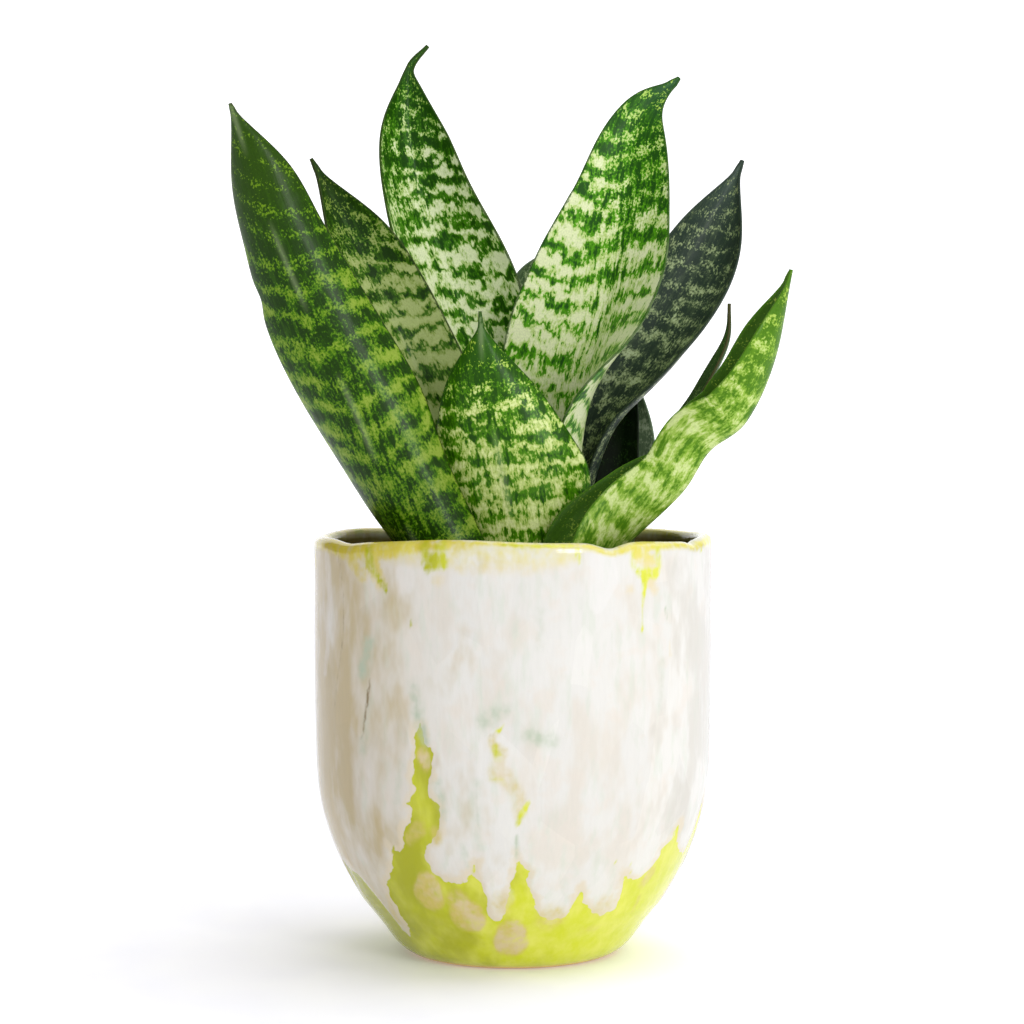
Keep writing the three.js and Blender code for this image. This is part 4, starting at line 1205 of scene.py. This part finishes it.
peat = crumb_finish("damp peat and bark crumbs", "#1c120b", "#4a3424", 1.6, 0.95, 0.8)
perlite = crumb_finish("expanded perlite", "#d9d4c8", "#f0ece2", 0.9, 0.85, 0.4)
root_skin = crumb_finish("tan rhizome skin", "#8c6a3c", "#bd9763", 2.5, 0.75, 0.3)
for node, material in (("soil", peat), ("rhizome", root_skin)):
    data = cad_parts[node].data
    data.materials.clear()
    data.materials.append(material)
print("soil and rhizome carry their own finishes")


# %% The soil's top, clear where the leaves pass through
SOIL_LEVEL, SOIL_RADIUS, TOP_STEP, GRAIN_LIFT = 130, 62.6, 1.5, 0.2
LEAF_CLEARANCE = 2.2, 3.6


def soil_height(x, y):
    """The same gentle heaps as the soil's solid has."""
    return SOIL_LEVEL + 1.1 * (np.sin(x / 9 + 1.3) * np.cos(y / 11 - 0.4)
                               + 0.6 * np.sin(x / 4.7 - y / 6.1))


def leaf_foot(name):
    """Where a leaf passes through the soil's top: its ring nearest to that height."""
    points = blade_rings(LEAVES[name], 120, 15)[0][2:30]
    return points[np.argmin(np.abs(points[:, :, 2].mean(1) - SOIL_LEVEL)), :, :2]


ticks = np.arange(-64.5, 64.6, TOP_STEP)
gx, gy = (g.ravel() for g in np.meshgrid(ticks, ticks, indexing="ij"))
feet = np.concatenate([leaf_foot(name) for name in LEAVES])
gap = np.sqrt(((gx[:, None] - feet[:, 0]) ** 2 + (gy[:, None] - feet[:, 1]) ** 2)).min(1)
clear = smoothstep(gap, *LEAF_CLEARANCE) * (np.hypot(gx, gy) < SOIL_RADIUS)
cells = np.arange(len(gx)).reshape(len(ticks), -1)
ground = bpy.data.meshes.new("soil top")
ground.from_pydata(
    (np.stack([gx, gy, soil_height(gx, gy) + GRAIN_LIFT], 1) * MM).tolist(), [],
    np.stack([cells[:-1, :-1], cells[1:, :-1], cells[1:, 1:], cells[:-1, 1:]],
             -1).reshape(-1, 4).tolist())
ground.attributes.new("clear", "FLOAT", "POINT").data.foreach_set(
    "value", clear.astype(np.float32))
print(f"{np.mean(clear > 0.5):.0%} of the ground takes crumbs")


# %% A tree that strews grains
def strewn_tree():
    """Rough grains at random points of a surface, where the surface says it is clear."""
    tree, given = new_tree("strewn grains", {
        "Ground": "Geometry", "Grains per m2": "Float", "Smallest": "Float",
        "Largest": "Float", "Roughness": "Float", "Seed": "Int", "Grain": "Material"},
        "Grains")
    clear = add(tree, "GeometryNodeInputNamedAttribute", {"Name": "clear"},
                data_type="FLOAT")
    density = add(tree, "ShaderNodeMath", {0: clear, 1: given["Grains per m2"]},
                  operation="MULTIPLY")
    points = add(tree, "GeometryNodeDistributePointsOnFaces", {
        "Mesh": given["Ground"], "Density": density, "Seed": given["Seed"]})
    grain = add(tree, "GeometryNodeMeshIcoSphere", {"Radius": 1.0, "Subdivisions": 2})
    turn = add(tree, "FunctionNodeRandomValue", {
        "Max": (math.tau, math.tau, math.tau), "Seed": given["Seed"]},
        data_type="FLOAT_VECTOR")
    size = add(tree, "FunctionNodeRandomValue", {
        "Min": given["Smallest"], "Max": given["Largest"], "Seed": given["Seed"]},
        data_type="FLOAT")
    flat = add(tree, "ShaderNodeCombineXYZ", {"X": 1.0, "Y": 0.75, "Z": 0.6})
    sizes = add(tree, "ShaderNodeVectorMath", {0: flat, "Scale": size}, operation="SCALE")
    placed = add(tree, "GeometryNodeInstanceOnPoints", {
        "Points": points, "Instance": grain, "Rotation": turn, "Scale": sizes})
    # made real first, so that the dents below are each grain's own
    whole = add(tree, "GeometryNodeRealizeInstances", {"Geometry": placed})
    dents = add(tree, "ShaderNodeTexNoise", {"Scale": 900.0, "Detail": 1.0})
    push = add(tree, "ShaderNodeVectorMath", {
        0: dents.outputs["Color"], 1: (0.5, 0.5, 0.5)}, operation="SUBTRACT")
    push = add(tree, "ShaderNodeVectorMath", {0: push, "Scale": given["Roughness"]},
               operation="SCALE")
    rough = add(tree, "GeometryNodeSetPosition", {"Geometry": whole, "Offset": push})
    done = add(tree, "GeometryNodeSetMaterial", {"Geometry": rough, "Material": given["Grain"]})
    add(tree, "NodeGroupOutput", {"Grains": done})
    return tree


strewn = strewn_tree()
print("the strewing tree has", len(strewn.nodes), "nodes")


# %% Strew the crumbs and the perlite
def grains(name, material, sizes):
    """Loose grains as one piece that rides on the one body."""
    mesh = grow(ground.copy(), strewn, {**sizes, "Grain": material})
    mesh.name = name
    obj = put(name, mesh)
    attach(obj, "root")
    print(name, len(mesh.polygons), "faces")


grains("soil_crumbs", peat, {
    "Grains per m2": 150000.0, "Smallest": 0.7 * MM, "Largest": 2.1 * MM,
    "Roughness": 1.1 * MM, "Seed": 3})
grains("perlite_grains", perlite, {
    "Grains per m2": 6500.0, "Smallest": 0.8 * MM, "Largest": 1.7 * MM,
    "Roughness": 0.8 * MM, "Seed": 8})
